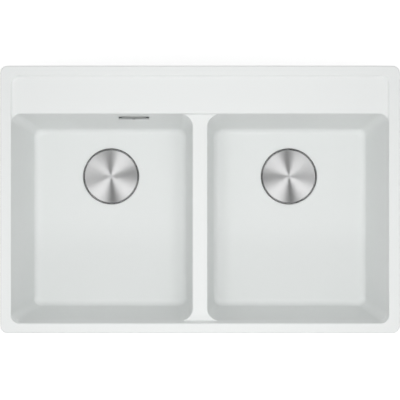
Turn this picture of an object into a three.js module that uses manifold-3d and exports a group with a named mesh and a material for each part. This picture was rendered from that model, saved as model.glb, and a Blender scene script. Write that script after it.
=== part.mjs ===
// Double bowl kitchen sink: one moulded composite shell with a lowered divider and a tap ledge,
// two basket strainer wastes under lift-off covers, an overflow, the connecting pipe to one outlet,
// and sprung clips that hold the rim down on the worktop.
//
// Millimetres, +Z up, +Y to the back (the tap side), +X to the right. The origin is the centre of
// the worktop cut-out, in the plane of the worktop's top face, on which the rim seal lies.
import * as THREE from "three";
import { mergeVertices } from "three/addons/utils/BufferGeometryUtils.js";
import Module from "manifold-3d";

const wasm = await Module();
wasm.setup();

// ---------------------------------------------------------------- driving dimensions

const contactGap = 0.3; // between two pieces that rest on or seal against each other
const weldDepth = 1; // how far joined forms of one piece run into each other
const cutPast = 1; // how far a cutter runs past the face that it opens
const hair = 0.01; // keeps neighbouring points of an outline apart

// Rim and shell
const sinkWidth = 780;
const sinkDepth = 522;
const rimThickness = 7;
const rimSideBand = 21.4; // from the rim's outer edge to the recess, left and right
const rimFrontBand = 19.6;
const rimBackBand = 19.5;
const rimCornerRadius = 14;
const rimEdgeRadius = 4; // rounding of the rim's outer top edge
const rimFootChamfer = 1;
const innerEdgeRadius = 2; // rounding of the rim's and the ledge's edges above the bowls
const dividerEdgeRadius = 3;
const recessCornerRadius = 16;
const ledgeDrop = 5; // tap ledge below the rim's top
const ledgeFillet = 4.5;
const ledgeWidth = 73; // front to back
const dividerDrop = 18; // divider below the rim's top
const dividerWidth = 30;
const frontStep = 2.9; // narrow shelf above each bowl's front wall, level with the divider
const bowlDepth = 200; // floor below the rim's top
const bowlDraftDeg = 3;
const bowlOuterCorner = 18;
const bowlInnerCorner = 24;
const bowlCornerTaper = 0.3; // how much a bowl's corner radius loses per millimetre of inset
const floorFillet = 18;
const floorFall = 2; // the floor falls this much towards the waste
const wallThickness = 7;
const floorThickness = 9;
const slabThickness = 8; // ledge and divider

// Worktop and its seal
const cutoutOverhang = 8; // the rim covers the worktop by this much all round
const sealThickness = 1.5;
const sealInset = 1.2;
const sealWidth = 5;

// Tap hole knock-outs under the ledge
const tapHoleRadius = 17.5;
const tapHoleSkin = 3; // left above each knock-out
const tapHolePitch = 150;
const tapHoleCount = 3;

// Waste flange, in a stepped seat moulded into each bowl's floor
const wasteFromBack = 118.7; // waste centre to the bowl's back wall
const sheet = 1.2; // pressed stainless steel
const lipRadius = 60.6;
const lipBead = 3;
const lipSink = 0.5; // lip's top above the floor's lowest point
const shelfDrop = 5; // the cover's shelf below the lip
const cupRadius = 44;
const cupFloorRadius = 42.5;
const cupDepth = 30; // strainer cup's floor below the lip
const drainRadius = 24;
const hubRadius = 9;
const hubHeight = 3;
const spokeWidth = 4;
const spokeCount = 4;
const seatClearance = 0.6; // round the flange in its seat
const flangeSealThickness = 1.4;
const bossThickness = 14; // shell under the lip
const bossRadius = 66;

// Cover
const coverGap = 1.6; // ring of water inlet round the cover
const coverThickness = 1.5;
const coverProud = 0.6; // above the lip
const coverEdge = 0.5;
const coverFeet = 4;
const coverFootWidth = 9;
const coverFootInset = 5; // foot's inner face from the cover's edge

// Basket strainer
const basketRimRadius = 41;
const basketTopRadius = 36.5;
const basketFloorRadius = 34;
const basketDepth = 19;
const basketSheet = 1;
const wallSlotWidth = 3;
const wallSlotHeight = 11;
const wallSlotCount = 10;
const wallSlotShift = 0.25; // share of a slot's pitch that the first slot is turned by
const floorHoleRadius = 2.6;
const floorHoleRings = 2;
const floorHolePitch = 14; // between rings, and about the same along them
const floorHoleMargin = 5; // outer ring of holes from the floor's edge
const basketSealThickness = 4;
const basketSealRadius = 28;
const basketSealBore = 11;
const basketSealLip = 1; // the seal's inner edge above its outer edge
const stemRadius = 4;
const stemSpigotRadius = 2.7; // through the basket's floor
const stemCollarRadius = 7; // on the basket's floor
const stemFillet = 1;
const knobRadius = 9;
const knobHeight = 5;
const knobFlare = 2; // height of the cone from the stem to the knob
const knobEdge = 1;
const knobClearance = 7; // knob's top below the cover's underside

// Waste housing under the bowl
const gasketThickness = 2;
const gasketRadius = 57;
const housingFlange = 4;
const housingFlangeMargin = 1; // flange's edge outside the gasket's
const housingRadius = 51.5;
const housingWall = 3;
const housingDepth = 18; // straight part below its flange
const funnelDepth = 13;
const spigotRadius = 23.9; // G 1 1/2 thread
const spigotBore = 20;
const spigotLength = 22;
const bossCoreRadius = 7;
const bossCoreHeight = 12;
const webThickness = 3;
const portHeight = 15.5; // overflow port's axis below the housing flange's top
const portReach = 72; // port's mouth from the waste's axis
const portRadius = 11;
const portBore = 7.5;
const clampScrewRadius = 3;
const clampHeadRadius = 6.5;
const clampHeadHeight = 2.6;
const clampTip = 3; // screw's tip below the housing's core

// Outlet pipework
const washerThickness = 2;
const pipeRadius = 20;
const pipeBore = 18;
const collarRadius = 23.4;
const collarHeight = 3;
const bendRadius = 32;
const nutRadius = 29;
const nutLip = 2.7;
const nutRibs = 10;
const nutRibDepth = 0.06; // share of the nut's radius
const threadEngagement = 12; // how far a nut covers the thread it is on
const teeHalfLength = 44;
const teeRadius = 23.9;
const teeDrop = 44; // outlet face below the pipe's axis
const pipeInsertion = 22; // length of pipe inside each socket of the tee

// Overflow
const overflowOffset = 59.6; // centre of the overflow from the left bowl's middle, to the right
const overflowDrop = 52.5; // below the rim's top
const overflowPlateWidth = 62;
const overflowPlateHeight = 16;
const overflowFlangeWidth = 48;
const overflowStandoff = 3.6; // plate's face in front of the bowl's wall
const overflowSlotWidth = 54;
const overflowSlotHeight = 11;
const overflowSeatWidth = 78;
const overflowSeatHeight = 34;
const overflowSeatDepth = 9.5; // seat's flat face behind the top of the bowl's back wall
const overflowGasketThickness = 1.8;
const overflowGasketMargin = 3.5; // gasket's edge inside the seat's
const overflowGasketBore = 1; // gasket's opening outside the slot's edge
const overflowFlangePlate = 3.6;
const overflowFlangeMargin = 1.5; // flange's edge inside the seat's
const overflowChamberDepth = 19;
const overflowChamberWall = 3;
const overflowChamberExtra = 4; // how much taller the chamber's inside is than the slot
const overflowSpigotLength = 16;
const overflowScrewRadius = 2.4;
const overflowScrewHead = 4.4;
const overflowScrewHeadHeight = 1.2;
const overflowScrewReach = 3; // screw's tip in front of the chamber's back wall
const overflowPostRadius = 5;
const hoseRadius = 10;
const hoseValley = 8.2;
const hoseEndRadius = 9.4;
const hosePitch = 14;
const hoseCuff = 14; // smooth length at each end
const hoseNutRadius = 15;
const hoseNutHeight = 16;
const hoseNutGrip = 9; // length of spigot inside a hose nut
const hoseNutRibs = 8;
const hoseSlack = 0.3; // more room round the hose's cuff
const portCapEnd = 3;
const hoseTopReach = 95; // how far the hose's bend is drawn out from its upper cuff
const hoseFootReach = 62; // and from its lower cuff

// Clips that press up on the worktop's underside
const clipRoom = 6.5; // from a clip's seat to the cut-out's edge
const clipPlateWidth = 22;
const clipPlateTop = 20; // below the worktop's top face
const clipPlateBottom = 70;
const clipSheet = 1.5;
const clipPivotDrop = 64;
const clipPivotReach = 5; // pivot's axis from the clip's seat
const clipPinRadius = 1.5;
const clipEarHeight = 12; // from the plate's lower edge
const clipEarMargin = 1; // ear's edge outside the pin
const clipEyeRadius = 2.8;
const clipEyeClearance = 0.3;
const clipClawWidth = 16;
const clipClawTop = 31; // claw's tip below the worktop's top face
const clipLeanDeg = 6; // claw's lean outwards, where its spring has no load
const clipToothHeight = 1.4;
const clipToothCount = 3;
const clipToothPitch = 6;
const clipToothRise = 0.85; // share of a tooth's pitch below its crest
const clipScrewDrop = 26;
const clipScrewRadius = 1.9;
const clipScrewDepth = 4.6;
const clipScrewHead = 3.9;
const clipScrewHeadHeight = 2.3;
const lugThickness = 11;
const lugWidth = 32;
const lugDrop = 74;
const lugTaper = 4;
const ribThickness = 6; // web from a back lug to its bowl

// Facets
const cornerSteps = 4; // per corner of the shell's outlines
const filletSteps = 3;
const outerFilletSteps = 2; // under a bowl, out of sight
const roundSteps = 20; // round the waste's seat, flange and basket
const coverSteps = 28;
const housingSteps = 16;
const smallSteps = 10; // round a spigot, a hub or a hose
const tinySteps = 8; // round a knob, a pin or a screw
const sealSteps = 12;
const pipeSteps = 14;
const bendSteps = 5;
const tapHoleSteps = 16;
const holeSides = 6; // of the basket's small floor holes

// ---------------------------------------------------------------- places worked out from them

const rimBottom = sealThickness;
const rimTop = rimBottom + rimThickness;
const ledgeTop = rimTop - ledgeDrop;
const dividerTop = rimTop - dividerDrop;
const floorTop = rimTop - bowlDepth;
const floorLow = floorTop - floorFall;
const draft = Math.tan(THREE.MathUtils.degToRad(bowlDraftDeg));

const recess = {
  left: rimSideBand - sinkWidth / 2,
  right: sinkWidth / 2 - rimSideBand,
  front: rimFrontBand - sinkDepth / 2,
  back: sinkDepth / 2 - rimBackBand,
};
const bowlBack = recess.back - ledgeWidth;
const bowlFront = recess.front + frontStep;
const bowlMiddleX = (recess.right + dividerWidth / 2) / 2;
const wasteY = bowlBack - wasteFromBack;

// Heights of the waste, from the lip of its flange downwards
const lipTop = floorLow + lipSink;
const shelfTop = lipTop - shelfDrop;
const cupFloor = lipTop - cupDepth;
const seatStep = shelfTop - sheet - contactGap - flangeSealThickness - contactGap;
const bossBottom = lipTop - bossThickness;
const housingTop = bossBottom - contactGap - gasketThickness - contactGap;
const funnelTop = housingTop - housingFlange - housingDepth;
const spigotTop = funnelTop - funnelDepth;
const spigotBottom = spigotTop - spigotLength;
const portZ = housingTop - portHeight;
const collarTop = spigotBottom - contactGap - washerThickness - contactGap;
const pipeAxisZ = collarTop - collarHeight - contactGap - nutLip - bendRadius;
const teeBottom = pipeAxisZ - teeDrop;
const gapWallRadius = lipRadius - lipBead; // inner wall of the lip's bead
const coverRadius = gapWallRadius - coverGap;

// Heights of the strainer
const basketSealBottom = cupFloor + contactGap;
const basketFloor = basketSealBottom + basketSealThickness + contactGap;
const coverTop = lipTop + coverProud;
const coverBottom = coverTop - coverThickness;
const knobTop = coverBottom - knobClearance;

const overflowX = -bowlMiddleX + overflowOffset;
const overflowZ = rimTop - overflowDrop;
const overflowSeatY = bowlBack + overflowSeatDepth;
const overflowWallY = bowlBack - (dividerTop - overflowZ) * draft;
const overflowHousingY = overflowSeatY + contactGap + overflowGasketThickness + contactGap;
const overflowSpigotY = overflowHousingY + overflowFlangePlate + overflowChamberDepth / 2;
const overflowSpigotBottom = overflowZ - overflowSeatHeight / 2 - overflowSpigotLength;

// ---------------------------------------------------------------- shaping tools

// A three.js geometry as a closed solid, turned the right way out.
function solid(geometry) {
  const bare = new THREE.BufferGeometry();
  bare.setAttribute("position", geometry.getAttribute("position"));
  bare.setIndex(geometry.getIndex());
  const merged = mergeVertices(bare, 1e-4);
  const corners = merged.attributes.position.array;
  const triVerts = new Uint32Array(merged.index.array);
  const made = new wasm.Manifold(new wasm.Mesh({ numProp: 3, vertProperties: corners, triVerts }));
  if (made.volume() > 0) return made;
  for (let i = 0; i < triVerts.length; i += 3) {
    [triVerts[i], triVerts[i + 1]] = [triVerts[i + 1], triVerts[i]];
  }
  return new wasm.Manifold(new wasm.Mesh({ numProp: 3, vertProperties: corners, triVerts }));
}

// A solid's surface as a three.js geometry.
function geometryOf(made) {
  const { numProp, numVert, vertProperties, triVerts } = made.getMesh();
  const position = new Float32Array(numVert * 3);
  for (let i = 0; i < numVert; i++) {
    position.set(vertProperties.subarray(i * numProp, i * numProp + 3), i * 3);
  }
  const geometry = new THREE.BufferGeometry();
  geometry.setAttribute("position", new THREE.BufferAttribute(position, 3));
  geometry.setIndex(new THREE.BufferAttribute(triVerts, 1));
  const flat = geometry.toNonIndexed();
  flat.computeVertexNormals();
  return flat;
}

const join = (first, ...rest) => rest.reduce((made, next) => made.add(next), first);
const cut = (first, ...rest) => rest.reduce((made, next) => made.subtract(next), first);

function block(x0, x1, y0, y1, z0, z1) {
  const geometry = new THREE.BoxGeometry(x1 - x0, y1 - y0, z1 - z0);
  return solid(geometry.translate((x0 + x1) / 2, (y0 + y1) / 2, (z0 + z1) / 2));
}

// A round bar or hole along Z.
function rod(radius, z0, z1, x = 0, y = 0, steps = smallSteps) {
  const geometry = new THREE.CylinderGeometry(radius, radius, z1 - z0, steps);
  return solid(geometry.rotateX(Math.PI / 2).translate(x, y, (z0 + z1) / 2));
}

// A closed profile of [radius, height] points turned about Z.
function turned(profile, steps = roundSteps) {
  const points = [...profile, profile[0]].map(([r, z]) => new THREE.Vector2(r, z));
  return solid(new THREE.LatheGeometry(points, steps).rotateX(Math.PI / 2));
}

// A flat ring about Z.
function ring(inner, outer, z0, z1, steps = roundSteps) {
  return turned([[inner, z0], [outer, z0], [outer, z1], [inner, z1]], steps);
}

// A flat outline, with optional holes, extruded from z0 to z1.
function plate(outlinePoints, z0, z1, holes = []) {
  const asVectors = (points) => points.map(([x, y]) => new THREE.Vector2(x, y));
  const shape = new THREE.Shape(asVectors(outlinePoints));
  shape.holes = holes.map((points) => new THREE.Path(asVectors(points)));
  const geometry = new THREE.ExtrudeGeometry(shape, { depth: z1 - z0, bevelEnabled: false });
  return solid(geometry.translate(0, 0, z0));
}

// The radius of a faceted bore whose flats leave the usual gap round a piece of this radius.
const boreRound = (radius, steps) => (radius + contactGap) / Math.cos(Math.PI / steps);

function circlePoints(radius, steps, x = 0, y = 0) {
  return Array.from({ length: steps }, (_, i) => {
    const angle = (i / steps) * 2 * Math.PI;
    return [x + radius * Math.cos(angle), y + radius * Math.sin(angle)];
  });
}

// A rectangle with round corners, anticlockwise. Radii: front right, back right, back left, front left.
function roundedBox(box, radii, steps = cornerSteps) {
  const corners = [
    [box.right, box.front, -1, 1, -90],
    [box.right, box.back, -1, -1, 0],
    [box.left, box.back, 1, -1, 90],
    [box.left, box.front, 1, 1, 180],
  ];
  return corners.flatMap(([x, y, inX, inY, startDeg], corner) => {
    const radius = radii[corner];
    return Array.from({ length: steps + 1 }, (_, i) => {
      const angle = THREE.MathUtils.degToRad(startDeg + (90 * i) / steps);
      return [
        x + inX * radius + radius * Math.cos(angle),
        y + inY * radius + radius * Math.sin(angle),
      ];
    });
  });
}

// The box with each side moved outwards. A single number moves all four.
function grown(box, by) {
  const side = typeof by === "number" ? { left: by, right: by, front: by, back: by } : by;
  return {
    left: box.left - (side.left ?? 0),
    right: box.right + (side.right ?? 0),
    front: box.front - (side.front ?? 0),
    back: box.back + (side.back ?? 0),
  };
}

const alike = (radius) => [radius, radius, radius, radius];

// A solid through a stack of outlines [points, z], bottom first, each with as many points. The
// lower end may close on a point away from its middle, as a floor does that falls to a drain.
function loft(stack, lowPoint) {
  const count = stack[0][0].length;
  const position = stack.flatMap(([points, z]) => points.flatMap(([x, y]) => [x, y, z]));
  const index = [];
  for (let level = 0; level + 1 < stack.length; level++) {
    for (let i = 0; i < count; i++) {
      const a = level * count + i;
      const b = level * count + ((i + 1) % count);
      index.push(a, b, b + count, a, b + count, a + count);
    }
  }
  const middle = ([points, z]) => [
    points.reduce((sum, p) => sum + p[0], 0) / count,
    points.reduce((sum, p) => sum + p[1], 0) / count,
    z,
  ];
  const low = stack.length * count;
  const top = (stack.length - 1) * count;
  position.push(...(lowPoint ?? middle(stack[0])), ...middle(stack.at(-1)));
  for (let i = 0; i < count; i++) {
    const next = (i + 1) % count;
    index.push(low, next, i, low + 1, top + i, top + next);
  }
  const geometry = new THREE.BufferGeometry();
  geometry.setAttribute("position", new THREE.Float32BufferAttribute(position, 3));
  geometry.setIndex(index);
  return solid(geometry);
}

// A solid round bar through stations { at, along, side, radius }.
function swept(stations, steps = pipeSteps) {
  const position = [];
  const index = [];
  for (const { at, along, side, radius } of stations) {
    const other = new THREE.Vector3().crossVectors(along, side);
    for (let i = 0; i < steps; i++) {
      const angle = (i / steps) * 2 * Math.PI;
      const p = at.clone();
      p.addScaledVector(side, radius * Math.cos(angle)).addScaledVector(other, radius * Math.sin(angle));
      position.push(p.x, p.y, p.z);
    }
  }
  for (let level = 0; level + 1 < stations.length; level++) {
    for (let i = 0; i < steps; i++) {
      const a = level * steps + i;
      const b = level * steps + ((i + 1) % steps);
      index.push(a, b, b + steps, a, b + steps, a + steps);
    }
  }
  const start = stations.length * steps;
  const last = (stations.length - 1) * steps;
  position.push(...stations[0].at.toArray(), ...stations.at(-1).at.toArray());
  for (let i = 0; i < steps; i++) {
    const next = (i + 1) % steps;
    index.push(start, next, i, start + 1, last + i, last + next);
  }
  const geometry = new THREE.BufferGeometry();
  geometry.setAttribute("position", new THREE.Float32BufferAttribute(position, 3));
  geometry.setIndex(index);
  return solid(geometry);
}

// A bowl outline for the right-hand bowl, moved inwards from its top edge by inset.
const bowlTop = {
  left: dividerWidth / 2,
  right: recess.right,
  front: bowlFront,
  back: bowlBack,
};

function bowlRing(inset) {
  const radius = (corner) => corner - bowlCornerTaper * inset;
  const outer = radius(bowlOuterCorner);
  const inner = radius(bowlInnerCorner);
  return roundedBox(grown(bowlTop, -inset), [outer, outer, inner, inner]);
}

// Stack of outlines up a drafted bowl wall, with a fillet at its foot.
function bowlStack(growth, foot, fillet, steps = filletSteps) {
  const draftAngle = Math.atan(draft);
  const centreZ = foot + fillet;
  const centreInset = (dividerTop - centreZ) * draft - growth + fillet / Math.cos(draftAngle);
  const stack = [];
  for (let i = 0; i <= steps; i++) {
    const angle = ((Math.PI / 2 - draftAngle) * i) / steps;
    stack.push([bowlRing(centreInset - fillet * Math.sin(angle)), centreZ - fillet * Math.cos(angle)]);
  }
  return stack;
}

// ---------------------------------------------------------------- the moulded shell

function rimSlab() {
  const whole = {
    left: -sinkWidth / 2,
    right: sinkWidth / 2,
    front: -sinkDepth / 2,
    back: sinkDepth / 2,
  };
  const at = (inset, z) => [roundedBox(grown(whole, -inset), alike(rimCornerRadius - inset)), z];
  const stack = [at(rimFootChamfer, rimBottom), at(0, rimBottom + rimFootChamfer)];
  for (let i = 0; i <= filletSteps; i++) {
    const angle = ((Math.PI / 2) * i) / filletSteps;
    const inset = rimEdgeRadius * (1 - Math.cos(angle));
    stack.push(at(inset, rimTop - rimEdgeRadius + rimEdgeRadius * Math.sin(angle)));
  }
  return loft(stack);
}

// The tray whose floor is the tap ledge, cut from the rim's top.
function ledgeTray() {
  const at = (growth, z) => [
    roundedBox(grown(recess, growth), alike(recessCornerRadius + growth)),
    z,
  ];
  const stack = [];
  for (let i = 0; i <= filletSteps; i++) {
    const angle = ((Math.PI / 2) * i) / filletSteps;
    stack.push(at(-ledgeFillet * (1 - Math.sin(angle)), ledgeTop + ledgeFillet * (1 - Math.cos(angle))));
  }
  return join(loft([...stack, at(0, rimTop + cutPast)]), edgeFlare());
}

// Rounds the rim's inner edge.
function edgeFlare() {
  const stack = [];
  for (let i = 0; i <= filletSteps; i++) {
    const angle = ((Math.PI / 2) * i) / filletSteps;
    const growth = innerEdgeRadius * (1 - Math.cos(angle));
    const z = rimTop - innerEdgeRadius + innerEdgeRadius * Math.sin(angle);
    stack.push([roundedBox(grown(recess, growth), alike(recessCornerRadius + growth)), z]);
  }
  const [widest] = stack.at(-1);
  return loft([...stack, [widest, rimTop + cutPast]]);
}

// The lower tray over both bowls, whose floor is the divider's top.
function bowlTray(growth, foot, top) {
  const box = grown({ ...recess, back: bowlBack }, growth);
  const radii = [recessCornerRadius, bowlOuterCorner, bowlOuterCorner, recessCornerRadius];
  const at = (back, z) => [
    roundedBox(grown(box, { back }), radii.map((radius) => radius + growth)),
    z,
  ];
  if (growth > 0) return loft([at(0, foot), at(0, top)]);
  const stack = [at(0, foot)];
  for (let i = 0; i <= filletSteps; i++) {
    const angle = ((Math.PI / 2) * i) / filletSteps;
    const flare = innerEdgeRadius * (1 - Math.cos(angle));
    stack.push(at(flare, ledgeTop - innerEdgeRadius + innerEdgeRadius * Math.sin(angle)));
  }
  return loft([...stack, at(innerEdgeRadius, top)]);
}

// The space inside one bowl, up to the divider's rounded edge.
function bowlSpace() {
  const stack = bowlStack(0, floorTop, floorFillet);
  const flared = (flare) => {
    const inner = bowlInnerCorner + flare;
    const radii = [bowlOuterCorner, bowlOuterCorner, inner, inner];
    return roundedBox(grown(bowlTop, { left: flare }), radii);
  };
  for (let i = 0; i <= filletSteps; i++) {
    const angle = ((Math.PI / 2) * i) / filletSteps;
    const flare = dividerEdgeRadius * (1 - Math.cos(angle));
    stack.push([flared(flare), dividerTop - dividerEdgeRadius + dividerEdgeRadius * Math.sin(angle)]);
  }
  stack.push([flared(dividerEdgeRadius), dividerTop + cutPast]);
  return loft(stack, [bowlMiddleX, wasteY, floorLow]);
}

// The outside of one bowl, up into the rim.
function bowlOutside() {
  const fillet = floorFillet + wallThickness / 2;
  const stack = bowlStack(wallThickness, floorTop - floorThickness, fillet, outerFilletSteps);
  const outline = bowlRing(-wallThickness);
  return loft([...stack, [outline, dividerTop], [outline, rimBottom + weldDepth]]);
}

// The stepped hole that takes a waste flange and its seal.
function wasteSeat() {
  const lipHole = lipRadius + seatClearance;
  const shelfHole = gapWallRadius + sheet + seatClearance;
  const cupHole = cupRadius + sheet + seatClearance;
  const lipStep = lipTop - sheet - contactGap;
  return turned([
    [0, bossBottom - cutPast],
    [cupHole, bossBottom - cutPast],
    [cupHole, seatStep],
    [shelfHole, seatStep],
    [shelfHole, lipStep],
    [lipHole, lipStep],
    [lipHole, floorTop + cutPast],
    [0, floorTop + cutPast],
  ]);
}

const mirrored = (make) => [solid(geometryOf(make).scale(-1, 1, 1)), make];

// An upright slot or plate with round ends, flat in XZ, from y0 to y1.
function uprightPill(width, height, y0, y1) {
  const half = { left: -width / 2, right: width / 2, front: -height / 2, back: height / 2 };
  const made = plate(roundedBox(half, alike(height / 2 - hair)), -y1, -y0);
  return solid(geometryOf(made).rotateX(Math.PI / 2));
}

const moved = (made, x, y, z) => solid(geometryOf(made).translate(x, y, z));

// Where each clip sits: its name, its seat's centre and the way it faces, in degrees from +X.
const cutoutHalfWidth = sinkWidth / 2 - cutoutOverhang;
const cutoutHalfDepth = sinkDepth / 2 - cutoutOverhang;
const clipSeatX = cutoutHalfWidth - clipRoom;
const clipSeatY = cutoutHalfDepth - clipRoom;
const bowlMiddleY = (bowlFront + bowlBack) / 2;
const clipPlaces = [
  { name: "front_left", x: -bowlMiddleX, y: -clipSeatY, facing: -90 },
  { name: "front_right", x: bowlMiddleX, y: -clipSeatY, facing: -90 },
  { name: "back_left", x: -bowlMiddleX, y: clipSeatY, facing: 90 },
  { name: "back_right", x: bowlMiddleX, y: clipSeatY, facing: 90 },
  { name: "side_left", x: -clipSeatX, y: bowlMiddleY, facing: 180 },
  { name: "side_right", x: clipSeatX, y: bowlMiddleY, facing: 0 },
];

// A moulded lug behind a clip, in the clip's own frame: +X out towards the worktop.
function clipLug() {
  const half = lugWidth / 2;
  const narrow = half - lugTaper;
  const outline = (reach, y) => [
    [-reach, -y],
    [0, -y],
    [0, y],
    [-reach, y],
  ];
  return loft([
    [outline(lugThickness - lugTaper, narrow), -lugDrop],
    [outline(lugThickness, half), ledgeTop - slabThickness + weldDepth],
  ]);
}

// A web that ties a back lug to the bowl in front of it.
function backRib(side) {
  const outlinePoints = [
    [bowlBack + wallThickness / 2, ledgeTop - slabThickness + weldDepth],
    [clipSeatY - lugThickness / 2, ledgeTop - slabThickness + weldDepth],
    [clipSeatY - lugThickness / 2, lugTaper - lugDrop],
    [bowlBack, lugTaper - lugDrop],
  ];
  const made = plate(outlinePoints, -ribThickness / 2, ribThickness / 2);
  const upright = geometryOf(made).rotateX(Math.PI / 2).rotateZ(Math.PI / 2);
  return solid(upright.translate(side * bowlMiddleX, 0, 0));
}

function placedAtClip(made, { x, y, facing }) {
  const geometry = geometryOf(made).rotateZ(THREE.MathUtils.degToRad(facing));
  return solid(geometry.translate(x, y, 0));
}

function clipScrewHole() {
  const depth = clipScrewDepth + contactGap;
  const made = rod(clipScrewRadius + contactGap, -depth, cutPast, 0, 0, tinySteps);
  return solid(geometryOf(made).rotateY(Math.PI / 2).translate(0, 0, -clipScrewDrop));
}

function sinkShell() {
  const ledgeOuter = grown(recess, wallThickness);
  const ledgeBlock = loft(
    [ledgeTop - slabThickness, rimBottom + weldDepth].map((z) => [
      roundedBox(
        { ...ledgeOuter, front: bowlBack - weldDepth },
        alike(recessCornerRadius + wallThickness),
      ),
      z,
    ]),
  );
  const trayBlock = bowlTray(wallThickness, dividerTop - slabThickness, rimBottom + weldDepth);
  const overflowBoss = block(
    overflowX - overflowSeatWidth / 2,
    overflowX + overflowSeatWidth / 2,
    overflowWallY + weldDepth,
    overflowSeatY,
    overflowZ - overflowSeatHeight / 2,
    ledgeTop - slabThickness + weldDepth,
  );
  const wasteBoss = (side) =>
    rod(bossRadius, bossBottom, floorTop - weldDepth, side * bowlMiddleX, wasteY, roundSteps);
  const outside = join(
    rimSlab(),
    ledgeBlock,
    trayBlock,
    ...mirrored(bowlOutside()),
    ...[-1, 1].map(wasteBoss),
    overflowBoss,
    ...clipPlaces.map((place) => placedAtClip(clipLug(), place)),
    ...[-1, 1].map(backRib),
  );
  const tapHoles = Array.from({ length: tapHoleCount }, (_, i) =>
    rod(
      tapHoleRadius,
      ledgeTop - slabThickness - cutPast,
      ledgeTop - tapHoleSkin,
      (i - (tapHoleCount - 1) / 2) * tapHolePitch,
      (bowlBack + recess.back) / 2,
      tapHoleSteps,
    ),
  );
  const slot = uprightPill(
    overflowSlotWidth,
    overflowSlotHeight,
    overflowWallY - cutPast,
    overflowSeatY + cutPast,
  );
  return cut(
    outside,
    join(ledgeTray(), bowlTray(0, dividerTop, rimTop + cutPast / 2), ...mirrored(bowlSpace())),
    ...[-1, 1].map((side) => moved(wasteSeat(), side * bowlMiddleX, wasteY, 0)),
    moved(slot, overflowX, 0, overflowZ),
    ...tapHoles,
    ...clipPlaces.map((place) => placedAtClip(clipScrewHole(), place)),
  );
}

function rimSeal() {
  const whole = {
    left: -sinkWidth / 2,
    right: sinkWidth / 2,
    front: -sinkDepth / 2,
    back: sinkDepth / 2,
  };
  const at = (inset) => roundedBox(grown(whole, -inset), alike(rimCornerRadius - inset));
  return plate(at(sealInset), 0, sealThickness - contactGap, [at(sealInset + sealWidth)]);
}

// ---------------------------------------------------------------- one waste, about its own axis

function wasteFlange() {
  const bead = 0.4; // rounding of the bead's edges
  const wall = gapWallRadius + sheet;
  const skin = turned([
    [lipRadius, lipTop - sheet],
    [lipRadius, lipTop - bead],
    [lipRadius - bead, lipTop],
    [gapWallRadius + bead, lipTop],
    [gapWallRadius, lipTop - bead],
    [gapWallRadius, shelfTop],
    [cupRadius, shelfTop],
    [cupFloorRadius, cupFloor],
    [drainRadius, cupFloor],
    [drainRadius, cupFloor - sheet],
    [cupFloorRadius + sheet, cupFloor - sheet],
    [cupRadius + sheet, shelfTop - sheet],
    [wall, shelfTop - sheet],
    [wall, lipTop - sheet],
  ]);
  const spokes = Array.from({ length: spokeCount }, (_, i) => {
    const half = spokeWidth / 2;
    const bar = block(0, drainRadius + weldDepth, -half, half, cupFloor - sheet, cupFloor);
    return solid(geometryOf(bar).rotateZ((i / spokeCount) * 2 * Math.PI));
  });
  const hub = rod(hubRadius, cupFloor - hubHeight, cupFloor);
  const screwHole = rod(clampScrewRadius + contactGap, cupFloor - hubHeight - cutPast, cupFloor + cutPast);
  return cut(join(skin, ...spokes, hub), screwHole);
}

function flangeSeal() {
  const top = shelfTop - sheet - contactGap;
  const inner = boreRound(cupRadius + sheet, sealSteps);
  return ring(inner, gapWallRadius, top - flangeSealThickness, top, sealSteps);
}

// A flat disc with an eased edge, on feet that stand on the flange's shelf.
function drainCover() {
  const disc = turned([
    [0, coverBottom],
    [coverRadius, coverBottom],
    [coverRadius, coverTop - coverEdge],
    [coverRadius - coverEdge, coverTop],
    [0, coverTop],
  ], coverSteps);
  const foot = (i) => {
    const inner = coverRadius - coverFootInset;
    const half = coverFootWidth / 2;
    const bar = block(inner, inner + coverThickness, -half, half, shelfTop + contactGap, coverBottom);
    return solid(geometryOf(bar).rotateZ(((i + 0.5) / coverFeet) * 2 * Math.PI));
  };
  return join(disc, ...Array.from({ length: coverFeet }, (_, i) => foot(i)));
}

function basketStrainer() {
  const top = basketFloor + basketDepth;
  const cup = turned([
    [0, basketFloor],
    [basketFloorRadius, basketFloor],
    [basketTopRadius, top - basketSheet],
    [basketRimRadius, top - basketSheet],
    [basketRimRadius, top],
    [basketTopRadius - basketSheet, top],
    [basketFloorRadius - basketSheet, basketFloor + basketSheet],
    [0, basketFloor + basketSheet],
  ]);
  const floorHole = (radius, x, y, sides) =>
    rod(radius, basketFloor - cutPast, basketFloor + basketSheet + cutPast, x, y, sides);
  const floorHoles = [];
  for (let i = 0; i < floorHoleRings; i++) {
    const radius = basketFloorRadius - floorHoleMargin - i * floorHolePitch;
    const count = Math.floor((2 * Math.PI * radius) / floorHolePitch);
    for (const [x, y] of circlePoints(radius, count)) {
      floorHoles.push(floorHole(floorHoleRadius, x, y, holeSides));
    }
  }
  const slotBottom = basketFloor + (basketDepth - wallSlotHeight) / 2;
  const wallSlots = Array.from({ length: wallSlotCount }, (_, i) => {
    const half = wallSlotWidth / 2;
    const inner = basketFloorRadius - basketSheet - cutPast;
    const outer = basketTopRadius + cutPast;
    const slot = block(inner, outer, -half, half, slotBottom, slotBottom + wallSlotHeight);
    return solid(geometryOf(slot).rotateZ(((i + wallSlotShift) / wallSlotCount) * 2 * Math.PI));
  });
  const stemHole = floorHole(boreRound(stemSpigotRadius, smallSteps), 0, 0, smallSteps);
  return cut(cup, ...floorHoles, ...wallSlots, stemHole);
}

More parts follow.
